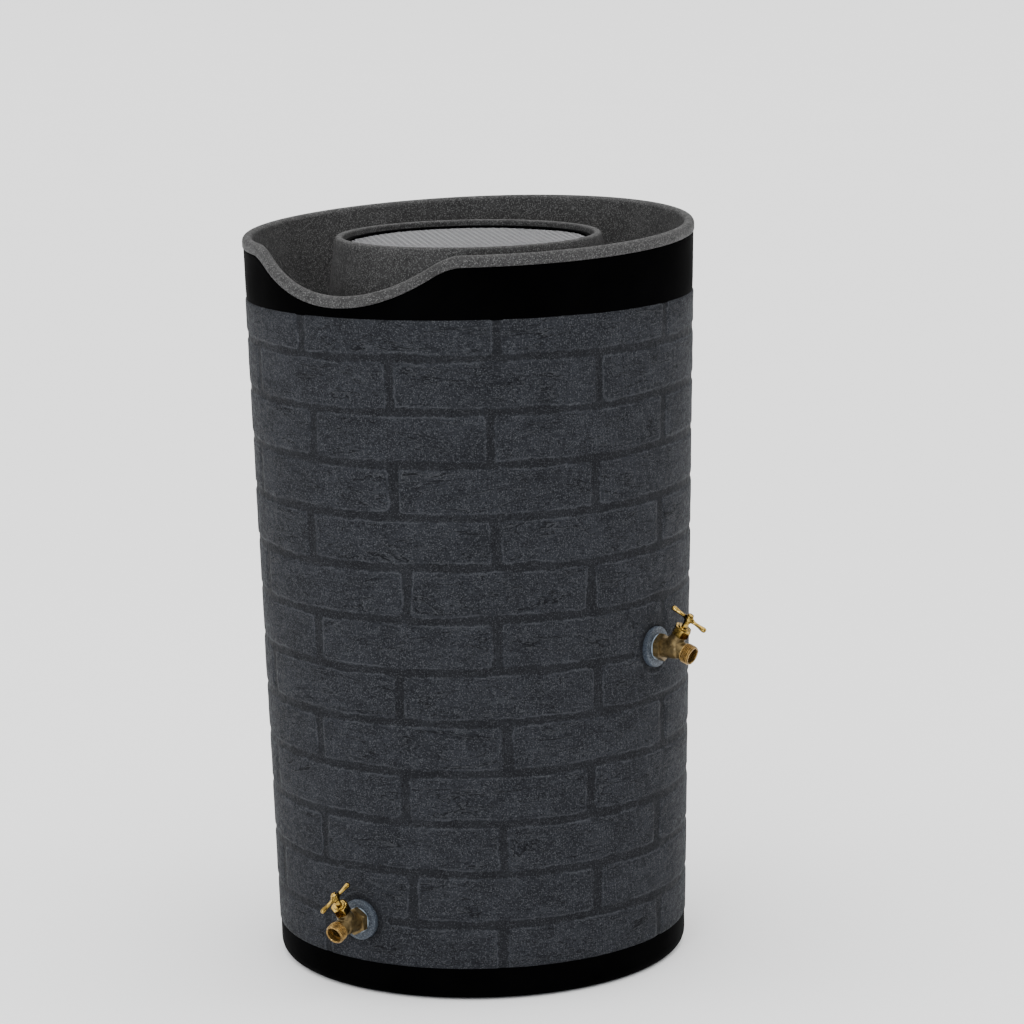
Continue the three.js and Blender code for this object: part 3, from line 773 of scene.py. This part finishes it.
def planter_ring():
    """Rolled lip, round trough for soil and a raised collar with a ledge for the screen."""
    roll = LIP_WIDTH / 2
    under = PLANTER_FLOOR - PLANTER_THICK
    rim = rim_height(COUNTER)[:, None]
    turn = np.linspace(0, math.pi, 15)
    lip_radius = LIP_RADIUS - roll + roll * np.cos(turn)
    lip_height = rim + LIP_HEIGHT - roll + roll * np.sin(turn)
    skirt_radius = np.array([LIP_RADIUS - 1.5 * MM, LIP_RADIUS - 0.5 * MM, LIP_RADIUS])
    skirt_height = rim + np.array([0, 0.4 * MM, 1.6 * MM])
    bowl = rounded(
        [
            (TROUGH_RADIUS, PLANTER_FLOOR + 40 * MM, 0),
            (TROUGH_RADIUS, PLANTER_FLOOR, 15 * MM),
            (COLLAR_FOOT_RADIUS + 1 * MM, PLANTER_FLOOR, 13 * MM),
            (COLLAR_TOP_RADIUS, COLLAR_TOP - 8 * MM, 6 * MM),
            (COLLAR_TOP_RADIUS - 2 * MM, COLLAR_TOP, 6 * MM),
            (SEAT_RADIUS, COLLAR_TOP, 4 * MM),
            (SEAT_RADIUS, SEAT_HEIGHT, 0.8 * MM),
            (THROAT_RADIUS, SEAT_HEIGHT, 1 * MM),
            (THROAT_RADIUS, SEAT_HEIGHT - PLANTER_THICK, 1 * MM),
            (COLLAR_TOP_RADIUS - PLANTER_THICK, SEAT_HEIGHT - PLANTER_THICK, 5 * MM),
            (COLLAR_FOOT_RADIUS - PLANTER_THICK, PLANTER_FLOOR + 8 * MM, 5 * MM),
            (COLLAR_FOOT_RADIUS - PLANTER_THICK, under, 1 * MM),
            (TROUGH_RADIUS + PLANTER_THICK, under, 15 * MM),
            (TROUGH_RADIUS + PLANTER_THICK, PLANTER_FLOOR + 36 * MM, 0),
        ],
        6,
    )
    share = np.linspace(0.05, 0.95, 6)
    wall_low = PLANTER_FLOOR + 40 * MM
    lip_inside = LIP_RADIUS - LIP_WIDTH
    down_height = (rim + LIP_HEIGHT - roll) * (1 - share) + wall_low * share
    down_radius = lip_inside + (TROUGH_RADIUS - lip_inside) * share
    up_height = wall_low * (1 - share) + (rim - 2 * MM) * share
    up_radius = TROUGH_RADIUS + PLANTER_THICK + (lip_inside - TROUGH_RADIUS) * share
    shape = (AROUND_BARREL, 1)
    close_radius = [lip_inside + PLANTER_THICK + 1.5 * MM]
    radius = [skirt_radius, lip_radius, down_radius, bowl[:, 0], up_radius, close_radius]
    radius = np.hstack([np.tile(part, shape) for part in radius])
    fixed = np.tile(bowl[:, 1], shape)
    height = np.hstack([skirt_height, lip_height, down_height, fixed, up_height, rim])
    ring = ring_mesh("planter_ring", COUNTER, radius, height)
    drains = []
    for k in range(DRAIN_HOLES):
        way = 2 * math.pi * (k + 0.5) / DRAIN_HOLES
        spot = Vector((DRAIN_CIRCLE * math.cos(way), DRAIN_CIRCLE * math.sin(way), PLANTER_FLOOR))
        drains.append(placed(rod("drain", DRAIN_RADIUS, -8 * MM, 4 * MM, 24), Matrix.Translation(spot)))
    return combined("planter_ring", ring, drains, "DIFFERENCE")


FRAME_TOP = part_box("screen_frame")[1].z
FRAME_INSIDE = 152 * MM
MESH_BED = SEAT_HEIGHT + 4.3 * MM
MESH_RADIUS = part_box("screen_mesh")[1].x
MESH_PITCH = 6 * MM
WIRE_RADIUS = 0.35 * MM


def screen_frame():
    """A ring with a rebate for the mesh and a cross under it."""
    outer = SEAT_RADIUS - 1 * MM
    ring = revolved(
        "screen_frame",
        rounded(
            [
                (FRAME_INSIDE, SEAT_HEIGHT + FIT, 0.5 * MM),
                (outer, SEAT_HEIGHT + FIT, 0.8 * MM),
                (outer, FRAME_TOP, 1.6 * MM),
                (MESH_RADIUS + 0.5 * MM, FRAME_TOP, 1.2 * MM),
                (MESH_RADIUS + 0.5 * MM, MESH_BED, 0),
                (FRAME_INSIDE, MESH_BED, 0.4 * MM),
            ]
        ),
        192,
    )
    high = MESH_BED - SEAT_HEIGHT - FIT
    bars = []
    for turn in (0, math.pi / 2):
        bar = box("bar", (2 * FRAME_INSIDE + 4 * MM, 6 * MM, high), (0, 0, MESH_BED - high / 2))
        bars.append(placed(bar, Matrix.Rotation(turn, 4, "Z")))
    return combined("screen_frame", ring, bars, "UNION")


def screen_mesh():
    """Woven wire: two sets of wires that pass over and under each other."""
    middle = MESH_BED + FIT + 2 * WIRE_RADIUS
    reach = int(MESH_RADIUS / MESH_PITCH - 0.5)
    points, faces = [], []
    section = np.arange(4) * math.pi / 2 + math.pi / 4
    for across in (False, True):
        for k in range(-reach, reach + 1):
            offset = k * MESH_PITCH
            half = math.sqrt(MESH_RADIUS ** 2 - offset ** 2) - 0.5 * MM
            count = max(8, int(4 * half / MESH_PITCH))
            along = np.linspace(-half, half, count)
            sway = WIRE_RADIUS * np.cos(math.pi * (along / MESH_PITCH + k + (1 if across else 0)))
            side = offset + WIRE_RADIUS * np.cos(section)
            rise = middle + WIRE_RADIUS * np.sin(section)
            a = np.repeat(along, 4)
            b = np.tile(side, count)
            z = np.tile(rise, count) + np.repeat(sway, 4)
            start = sum(len(p) for p in points)
            points.append(np.stack([b, a, z] if across else [a, b, z], 1))
            faces.append(start + grid_faces(count, 4, wrap_rows=False))
            last = 4 * count - 1
            faces.append(start + np.array([[0, 1, 2, 3], [last, last - 1, last - 2, last - 3]]))
    mesh = mesh_from("screen_mesh", np.vstack(points), np.vstack(faces))
    return cleaned(mesh, 1e-7)


# ---------------------------------------------------------------- hose bibbs

STEM_START = 21 * MM
STEM_ANGLE = math.radians(57)
NOZZLE_ANGLE = math.radians(20)
NOZZLE_OUT = 22 * MM
NOZZLE_UP = 4.6 * MM
NOZZLE_LENGTH = 34 * MM
NOZZLE_BORE = 9.6 * MM
THREAD_RADIUS = 13.4 * MM
THREAD_START = 20.5 * MM
THREAD_PITCH = 2.2 * MM
SHOULDER_START = 2 * MM
SHOULDER_END = 10.8 * MM
BELLY_RADIUS = 13 * MM
BELLY_END = 36 * MM
STEM_RADIUS = 4 * MM
BOSS_TOP = 24 * MM
HEX_TOP = BOSS_TOP + 11.9 * MM
PLUG_END = BOSS_TOP - 6.5 * MM
PACKING_TOP = BOSS_TOP + 1.8 * MM
CHAMBER_RADIUS = 8.6 * MM
SEAT_TOP = 5 * MM
HUB_AT = 50.5 * MM
HANDLE_HALF = 28 * MM
SEAL_RADIUS = 16.9 * MM
STEM_PLACE = Matrix.Translation((0, -STEM_START, 0)) @ Matrix.Rotation(math.pi / 2 - STEM_ANGLE, 4, "X")
NOZZLE_TILT = Matrix.Rotation(math.pi / 2 + NOZZLE_ANGLE, 4, "X")
NOZZLE_PLACE = Matrix.Translation((0, -NOZZLE_OUT, NOZZLE_UP)) @ NOZZLE_TILT


def threaded(name, crest, depth, pitch, low, high, around=72):
    """A solid rod about Z with a helical thread that runs out at both ends."""
    steps = max(12, int((high - low) / pitch * 9))
    heights = np.linspace(low, high, steps)
    turn = np.linspace(0, 2 * math.pi, around, endpoint=False)
    way = (heights[None, :] / pitch - turn[:, None] / (2 * math.pi)) % 1
    tooth = np.clip(np.abs(way - 0.5) * 2 * 1.5 - 0.25, 0, 1)
    fade = smooth(low, low + pitch, heights) * smooth(high, high - pitch, heights)
    bare = np.where(heights > (low + high) / 2, depth, depth * 0.6)
    cut = tooth * depth * fade[None, :] + bare[None, :] * (1 - fade[None, :])
    radius = np.hstack([np.zeros((around, 1)), crest - cut, np.zeros((around, 1))])
    height = np.tile(np.hstack([low, heights, high]), (around, 1))
    return ring_mesh(name, turn, radius, height)


def valve_body(name):
    """Cast body with a chamfered hex shoulder, a boss for the bonnet and a cut hose thread."""
    belly = placed(
        revolved(
            "belly",
            rounded(
                [
                    (0, SHOULDER_END - 3 * MM, 0),
                    (BELLY_RADIUS, SHOULDER_END - 3 * MM, 0),
                    (BELLY_RADIUS, BELLY_END, 9 * MM),
                    (0, BELLY_END, 0),
                ],
                10,
            ),
        ),
        OUTWARDS,
    )
    boss_outline = rounded(
        [
            (0, -2 * MM, 0),
            (BELLY_RADIUS - 1.5 * MM, -2 * MM, 0),
            (BELLY_RADIUS - 1.5 * MM, 13 * MM, 6 * MM),
            (10.4 * MM, 17 * MM, 6 * MM),
            (10.4 * MM, BOSS_TOP, 0),
            (0, BOSS_TOP, 0),
        ]
    )
    boss = placed(revolved("boss", boss_outline), STEM_PLACE)
    neck = placed(rod("neck", 11.5 * MM, 0, THREAD_START + 1 * MM), NOZZLE_PLACE)
    casting = combined("casting", belly, [boss, neck], "UNION")
    casting = melted("casting", casting, 0.6 * MM, 10)
    shoulder = placed(hexagon("shoulder", 32 * MM, SHOULDER_START, SHOULDER_END, 1.6 * MM), OUTWARDS)
    shank = threaded("shank", SHANK_RADIUS, 0.8 * MM, 1.8 * MM, -SHANK_LENGTH, SHOULDER_START + 1 * MM)
    thread = threaded("thread", THREAD_RADIUS, 1.4 * MM, THREAD_PITCH, THREAD_START, NOZZLE_LENGTH)
    solid = [placed(shank, OUTWARDS), shoulder, placed(thread, NOZZLE_PLACE)]
    body = combined(name, casting, solid, "UNION")
    inlet = placed(rod("inlet", 6 * MM, -SHANK_LENGTH - 1 * MM, STEM_START - 1 * MM, 40), OUTWARDS)
    orifice = placed(rod("orifice", 5 * MM, -1 * MM, SEAT_TOP + 1 * MM, 40), STEM_PLACE)
    chamber_outline = [
        (0, SEAT_TOP),
        (6.2 * MM, SEAT_TOP),
        (6.2 * MM, SEAT_TOP - 1.5 * MM),
        (CHAMBER_RADIUS, SEAT_TOP - 1.5 * MM),
        (CHAMBER_RADIUS, BOSS_TOP + 1 * MM),
        (0, BOSS_TOP + 1 * MM),
    ]
    chamber = placed(revolved("chamber", chamber_outline, 48), STEM_PLACE)
    outlet_outline = rounded(
        [
            (0, 8 * MM, 0),
            (NOZZLE_BORE - 1.2 * MM, 8 * MM, 0),
            (NOZZLE_BORE - 1.2 * MM, NOZZLE_LENGTH - 8 * MM, 0),
            (NOZZLE_BORE + 0.6 * MM, NOZZLE_LENGTH - 8 * MM, 0),
            (NOZZLE_BORE + 0.6 * MM, NOZZLE_LENGTH - 1 * MM, 0),
            (NOZZLE_BORE + 2 * MM, NOZZLE_LENGTH + 0.6 * MM, 0),
            (0, NOZZLE_LENGTH + 0.6 * MM, 0),
        ]
    )
    outlet = placed(revolved("outlet", outlet_outline, 64), NOZZLE_PLACE)
    body = combined(name, body, [inlet, orifice, chamber, outlet], "DIFFERENCE")
    machine_faces(body)
    return body


def machine_faces(body):
    """Gives the hose thread, the bore and the shank their cut-brass look."""
    body.materials.clear()
    body.materials.append(CAST)
    body.materials.append(MACHINED)
    count = len(body.polygons)
    centres = np.empty(count * 3, np.float32)
    body.polygons.foreach_get("center", centres)
    centres = np.c_[centres.reshape(-1, 3), np.ones(count)]
    local = centres @ np.array(NOZZLE_PLACE.inverted()).T
    from_axis = np.hypot(local[:, 0], local[:, 1])
    on_thread = (local[:, 2] > THREAD_START - 0.2 * MM) & (from_axis < 14.5 * MM)
    in_bore = (local[:, 2] > 6 * MM) & (from_axis < NOZZLE_BORE + 0.3 * MM)
    on_shank = centres[:, 1] > -SHOULDER_START
    body.polygons.foreach_set("material_index", (on_thread | in_bore | on_shank).astype(np.int32))


def bonnet_nut(name):
    """Polished hex nut that plugs the boss, with a low cap round the stem."""
    hexed = hexagon("hex", 21 * MM, BOSS_TOP + FIT, HEX_TOP, 1.3 * MM)
    plug = rod("plug", CHAMBER_RADIUS - 0.4 * MM, PLUG_END, BOSS_TOP + 1 * MM)
    foot, top = HEX_TOP - 0.4 * MM, HEX_TOP + 1.8 * MM
    corners = [(0, foot, 0), (8 * MM, foot, 0), (7.4 * MM, top, 0.8 * MM), (0, top, 0)]
    cap = revolved("cap", rounded(corners))
    solid = combined(name, hexed, [plug, cap], "UNION")
    packing = rod("packing", 6.6 * MM, PLUG_END - 1 * MM, PACKING_TOP, 48)
    bore = rod("bore", STEM_RADIUS + 0.35 * MM, PLUG_END - 2 * MM, top + 1 * MM, 48)
    return combined(name, solid, [packing, bore], "DIFFERENCE")


def valve_stem(name):
    """Round stem with a seat flange and a tenon for the handle."""
    washer_top = 7.7 * MM
    hub_foot = HUB_AT - 5.6 * MM
    outline = rounded(
        [
            (0, washer_top + 6 * MM, 0),
            (1.85 * MM, washer_top + 6 * MM, 0),
            (1.85 * MM, washer_top + FIT, 0),
            (6.4 * MM, washer_top + FIT, 0.3 * MM),
            (6.4 * MM, washer_top + 3 * MM, 0.6 * MM),
            (STEM_RADIUS, washer_top + 4.5 * MM, 0.5 * MM),
            (STEM_RADIUS, hub_foot, 0.4 * MM),
            (2.9 * MM, hub_foot, 0),
            (2.9 * MM, HUB_AT, 0.3 * MM),
            (0, HUB_AT, 0),
        ]
    )
    return revolved(name, outline, 48)


def tee_handle(name, turn):
    """Ball hub with two slim arms that swell to round ends."""
    share = np.array([0, 0.12, 0.2, 0.27, 0.36, 0.5, 0.64, 0.76, 0.86, 0.935, 0.976, 0.996, 1])
    radii = np.array([5.6, 4.7, 3.3, 2.6, 2.3, 2.45, 2.85, 3.3, 3.7, 3.5, 2.5, 1.1, 0]) * MM
    stations = share * HANDLE_HALF
    fine = np.r_[np.linspace(0, stations[-3], 40), stations[-2:]]
    arm = np.interp(fine, stations, radii)
    arm[1:-4] = np.convolve(np.pad(arm, 2, mode="edge"), np.ones(5) / 5, "valid")[1:-4]
    outline = np.c_[np.r_[arm[::-1], arm[1:]], np.r_[-fine[::-1], fine[1:]]]
    across = Matrix.Rotation(turn, 4, "Z") @ Matrix.Rotation(math.pi / 2, 4, "X")
    bar = placed(revolved("bar", outline, 48), Matrix.Translation((0, 0, HUB_AT)) @ across)
    sleeve = rod("sleeve", 4.9 * MM, HUB_AT - 5.3 * MM, HUB_AT + 5 * MM, 48, 0.5 * MM)
    solid = combined(name, bar, [sleeve], "UNION")
    solid = melted(name, solid, 0.3 * MM, 10)
    bore = rod("bore", 3.25 * MM, HUB_AT - 7 * MM, HUB_AT + 7 * MM, 40)
    return combined(name, solid, [bore], "DIFFERENCE")


def slotted_screw(name, shaft, head, foot, under, top, slot_width):
    """A screw about Z with a domed and slotted head."""
    outline = rounded(
        [
            (0, foot, 0),
            (shaft, foot, 0.2 * MM),
            (shaft, under, 0),
            (head, under, 0.2 * MM),
            (head, top - (top - under) * 0.4, 0.8 * MM),
            (head * 0.5, top, 1 * MM),
            (0, top, 0),
        ]
    )
    solid = revolved(name, outline, 40)
    slot = box("slot", (slot_width, 3 * head, 1.6 * MM), (0, 0, top))
    return combined(name, solid, [slot], "DIFFERENCE")


def wall_cone(name, radius_at):
    """A solid cone that follows the tank wall."""
    low, high = SLEEVE_BOTTOM, SLEEVE_TOP
    outline = [(0, low), (radius_at(low), low), (radius_at(high), high), (0, high)]
    return revolved(name, outline, AROUND_BARREL)


def pad_solid(name, frame, face, bevel):
    """A disc on the outside of the tank wall, hollowed to fit it, with a hole for the shank."""
    disc = placed(tube(name, SHANK_HOLE, PAD_RADIUS, -20 * MM, face, 96, bevel), frame @ OUTWARDS)
    return combined(name, disc, [wall_cone("cone", lambda z: tank_radius(z) + FIT)], "DIFFERENCE")


def gasket_solid(name, frame, thick):
    """A rubber ring inside the tank wall."""
    depth = PAD_PROUD + SLEEVE_THICK + SLEEVE_GAP + TANK_THICK
    lean = (TOP_RADIUS - BOTTOM_RADIUS) / SLEEVE_HEIGHT * 20 * MM
    ring = tube(name, SHANK_HOLE, 21 * MM, -depth - lean - thick, 0, 64)
    ring = placed(ring, frame @ OUTWARDS)
    inside = wall_cone("cone", lambda z: tank_radius(z) - TANK_THICK - FIT)
    return combined(name, ring, [inside], "INTERSECT")


GASKET_THICK = 3 * MM
NUT_THICK = 8 * MM


def locknut(name, frame):
    """A chamfered hex nut behind the gasket."""
    lean = (TOP_RADIUS - BOTTOM_RADIUS) / SLEEVE_HEIGHT * 20 * MM
    face = -(PAD_PROUD + SLEEVE_THICK + SLEEVE_GAP + TANK_THICK + lean + GASKET_THICK + FIT)
    blank = hexagon(name, 36 * MM, face - NUT_THICK, face, 1.6 * MM)
    bore = rod("bore", SHANK_RADIUS + 0.35 * MM, face - NUT_THICK - 1 * MM, face + 1 * MM, 64)
    return placed(combined(name, blank, [bore], "DIFFERENCE"), frame @ OUTWARDS)


def overflow_spout(name, frame):
    """Black hose tail with a flange, three barbs and a bore right through."""
    barb = 17 * MM
    bore = SHANK_RADIUS - 3.5 * MM
    corners = [(bore, -SHANK_LENGTH, 0), (SHANK_RADIUS, -SHANK_LENGTH, 0.5 * MM), (SHANK_RADIUS, 0, 0)]
    corners += [(barb + 1 * MM, 0, 0), (barb + 1 * MM, 10 * MM, 1 * MM), (barb - 2.5 * MM, 12 * MM, 0)]
    for at in (12 * MM, 20 * MM, 28 * MM):
        corners += [(barb, at + 0.2 * MM, 0.3 * MM), (barb - 2.5 * MM, at + 7 * MM, 0)]
    corners += [(bore, OVERFLOW_TAIL, 0.6 * MM)]
    tail = placed(revolved(name, rounded(corners), 96), frame @ OUTWARDS)
    flange = pad_solid("flange", frame, 3 * MM, 1 * MM)
    ring = placed(tube("ring", bore, SHANK_HOLE + 1 * MM, 0.5 * MM, 2.5 * MM, 64), frame @ OUTWARDS)
    return combined(name, tail, [flange, ring], "UNION")


def add_bibb(prefix, frame, handle_turn):
    """All the pieces of one hose bibb."""
    handle = prefix + "_handle"
    rising = prefix + "_washer"

    def add(part, mesh, look, body="barrel", sharp=35):
        piece(prefix + "_" + part, mesh, look, body, sharp)

    stem = frame @ STEM_PLACE
    pad = pad_solid(prefix + "_spigot_pad", frame, 0, 0.7 * MM)
    add("spigot_pad", pad, PAD)
    washer = tube(prefix + "_seal_washer", SHANK_HOLE, SEAL_RADIUS, FIT, SHOULDER_START - FIT, 96, 0.3 * MM)
    add("seal_washer", placed(washer, frame @ OUTWARDS), WHITE)
    body = placed(valve_body(prefix + "_valve_body"), frame)
    add("valve_body", body, CAST)
    gasket = gasket_solid(prefix + "_inner_gasket", frame, GASKET_THICK)
    add("inner_gasket", gasket, RUBBER)
    add("locknut", locknut(prefix + "_locknut", frame), CAST)
    nut = placed(bonnet_nut(prefix + "_bonnet_nut"), stem)
    add("bonnet_nut", nut, BRIGHT)
    packing = tube(
        prefix + "_packing_ring", 4.35 * MM, 6.25 * MM, PLUG_END + 1 * MM, PACKING_TOP - FIT, 48, 0.4 * MM
    )
    add("packing_ring", placed(packing, stem), RUBBER)
    add("stem", placed(valve_stem(prefix + "_stem"), stem), BRIGHT, handle)
    seat = tube(prefix + "_seat_washer", 1.85 * MM, 6 * MM, 5.3 * MM, 7.7 * MM, 48, 0.4 * MM)
    add("seat_washer", placed(seat, stem), RUBBER, rising)
    screw = slotted_screw(
        prefix + "_seat_washer_screw", 1.5 * MM, 3 * MM, -12.7 * MM, -5 * MM, -3.4 * MM, 0.8 * MM
    )
    upside_down = Matrix.Rotation(math.pi, 4, "X")
    add("seat_washer_screw", placed(screw, stem @ upside_down), BRIGHT, rising)
    tee = placed(tee_handle(prefix + "_tee_handle", handle_turn), stem)
    add("tee_handle", tee, BRIGHT, handle, sharp=50)
    top = slotted_screw(
        prefix + "_handle_screw",
        2 * MM,
        4 * MM,
        HUB_AT + FIT,
        HUB_AT + 5.6 * MM,
        HUB_AT + 7.8 * MM,
        1 * MM,
    )
    add("handle_screw", placed(top, stem), BRIGHT, handle)


# ---------------------------------------------------------------- the whole barrel

piece("tank_shell", tank_shell(), BLACK, "barrel")
piece("brick_sleeve", brick_sleeve(), BRICK, "barrel", sharp=70)
piece("planter_ring", planter_ring(), PLANTER, "planter", sharp=50)
piece("screen_frame", screen_frame(), BLACK, "screen")
piece("screen_mesh", screen_mesh(), WIRE, "screen", sharp=100)
add_bibb("lower", LOWER, math.radians(-12))
add_bibb("upper", UPPER, math.radians(8))
spout = overflow_spout("overflow_spout", OVERFLOW)
piece("overflow_spout", spout, BLACK, "barrel")
gasket = gasket_solid("overflow_gasket", OVERFLOW, GASKET_THICK)
piece("overflow_gasket", gasket, RUBBER, "barrel")
piece("overflow_locknut", locknut("overflow_locknut", OVERFLOW), BLACK, "barrel")

# ---------------------------------------------------------------- floor, light and camera


def pale_floor():
    """A wide plain floor."""
    look = Look("pale_floor")
    color = look.mix(look.noise(1.5, 2.0), (0.90, 0.90, 0.90), (0.92, 0.92, 0.92))
    look.finish(color, 0.9, Specular_IOR_Level=0.0)
    floor = revolved("floor", [(0, -10 * MM), (80, -10 * MM), (80, 0), (0, 0)], 96)
    floor.materials.append(look.material)
    loose_object("floor", floor)


def area_light(name, spot, aim, size, power, color=(1, 1, 1)):
    """A soft square lamp at a spot, turned towards a point."""
    lamp = bpy.data.lights.new(name, "AREA")
    lamp.shape = "RECTANGLE"
    lamp.size, lamp.size_y = size
    lamp.energy = power
    lamp.color = color
    made = loose_object(name, lamp)
    made.location = spot
    made.rotation_euler = (Vector(aim) - Vector(spot)).to_track_quat("-Z", "Y").to_euler()


def pale_world():
    """Surroundings like a softly lit studio: bright overhead and dimmer towards the horizon."""
    world = bpy.data.worlds.new("studio")
    world.use_nodes = True
    nodes, links = world.node_tree.nodes, world.node_tree.links
    split = nodes.new("ShaderNodeSeparateXYZ")
    links.new(nodes.new("ShaderNodeTexCoord").outputs["Generated"], split.inputs[0])
    level = nodes.new("ShaderNodeMapRange")
    level.interpolation_type = "SMOOTHSTEP"
    links.new(split.outputs["Z"], level.inputs["Value"])
    level.inputs["From Min"].default_value = 0.15
    level.inputs["From Max"].default_value = 0.85
    level.inputs["To Min"].default_value = WORLD_LOW
    level.inputs["To Max"].default_value = WORLD_HIGH
    back = nodes["Background"]
    back.inputs["Color"].default_value = (1, 1, 1, 1)
    links.new(level.outputs[0], back.inputs["Strength"])
    bpy.context.scene.world = world


def studio():
    """Soft lamps to the left, right and front, placed about the camera's side of the barrel."""
    middle = (0, 0, 0.5)

    def about(turn, distance, height):
        way = CAMERA_TURN + turn
        return (distance * math.sin(way), -distance * math.cos(way), height)

    area_light("left_lamp", about(-1.45, 2.4, 1.2), middle, (0.9, 2.0), 12)
    area_light("right_lamp", about(1.45, 2.4, 1.2), middle, (0.9, 2.0), 10)
    area_light("front_lamp", about(-0.3, 4.2, 1.1), middle, (0.8, 0.5), 46, (0.90, 0.95, 1.0))


WORLD_LOW = 0.2
WORLD_HIGH = 2.9
CAMERA_TURN = math.radians(35.35)
CAMERA_DISTANCE = 4.7656
CAMERA_HEIGHT = 1.4913
CAMERA_YAW = 0.0107
CAMERA_PITCH = 0.1853
CAMERA_ROLL = -0.0198
CAMERA_LENS = 125.9


def camera():
    """A long lens in front of the barrel and to its right, half a metre above its top."""
    made = bpy.data.cameras.new("camera")
    made.lens = CAMERA_LENS
    made.sensor_width = 36
    made.clip_end = 400
    view = loose_object("camera", made)
    across, away = math.sin(CAMERA_TURN), -math.cos(CAMERA_TURN)
    spot = Matrix.Translation((CAMERA_DISTANCE * across, CAMERA_DISTANCE * away, CAMERA_HEIGHT))
    turn = Matrix.Rotation(CAMERA_TURN - CAMERA_YAW, 4, "Z")
    tilt = Matrix.Rotation(math.pi / 2 - CAMERA_PITCH, 4, "X")
    view.matrix_world = spot @ turn @ tilt @ Matrix.Rotation(CAMERA_ROLL, 4, "Z")
    bpy.context.scene.camera = view


pale_floor()
pale_world()
studio()
camera()

bpy.context.view_layer.update()
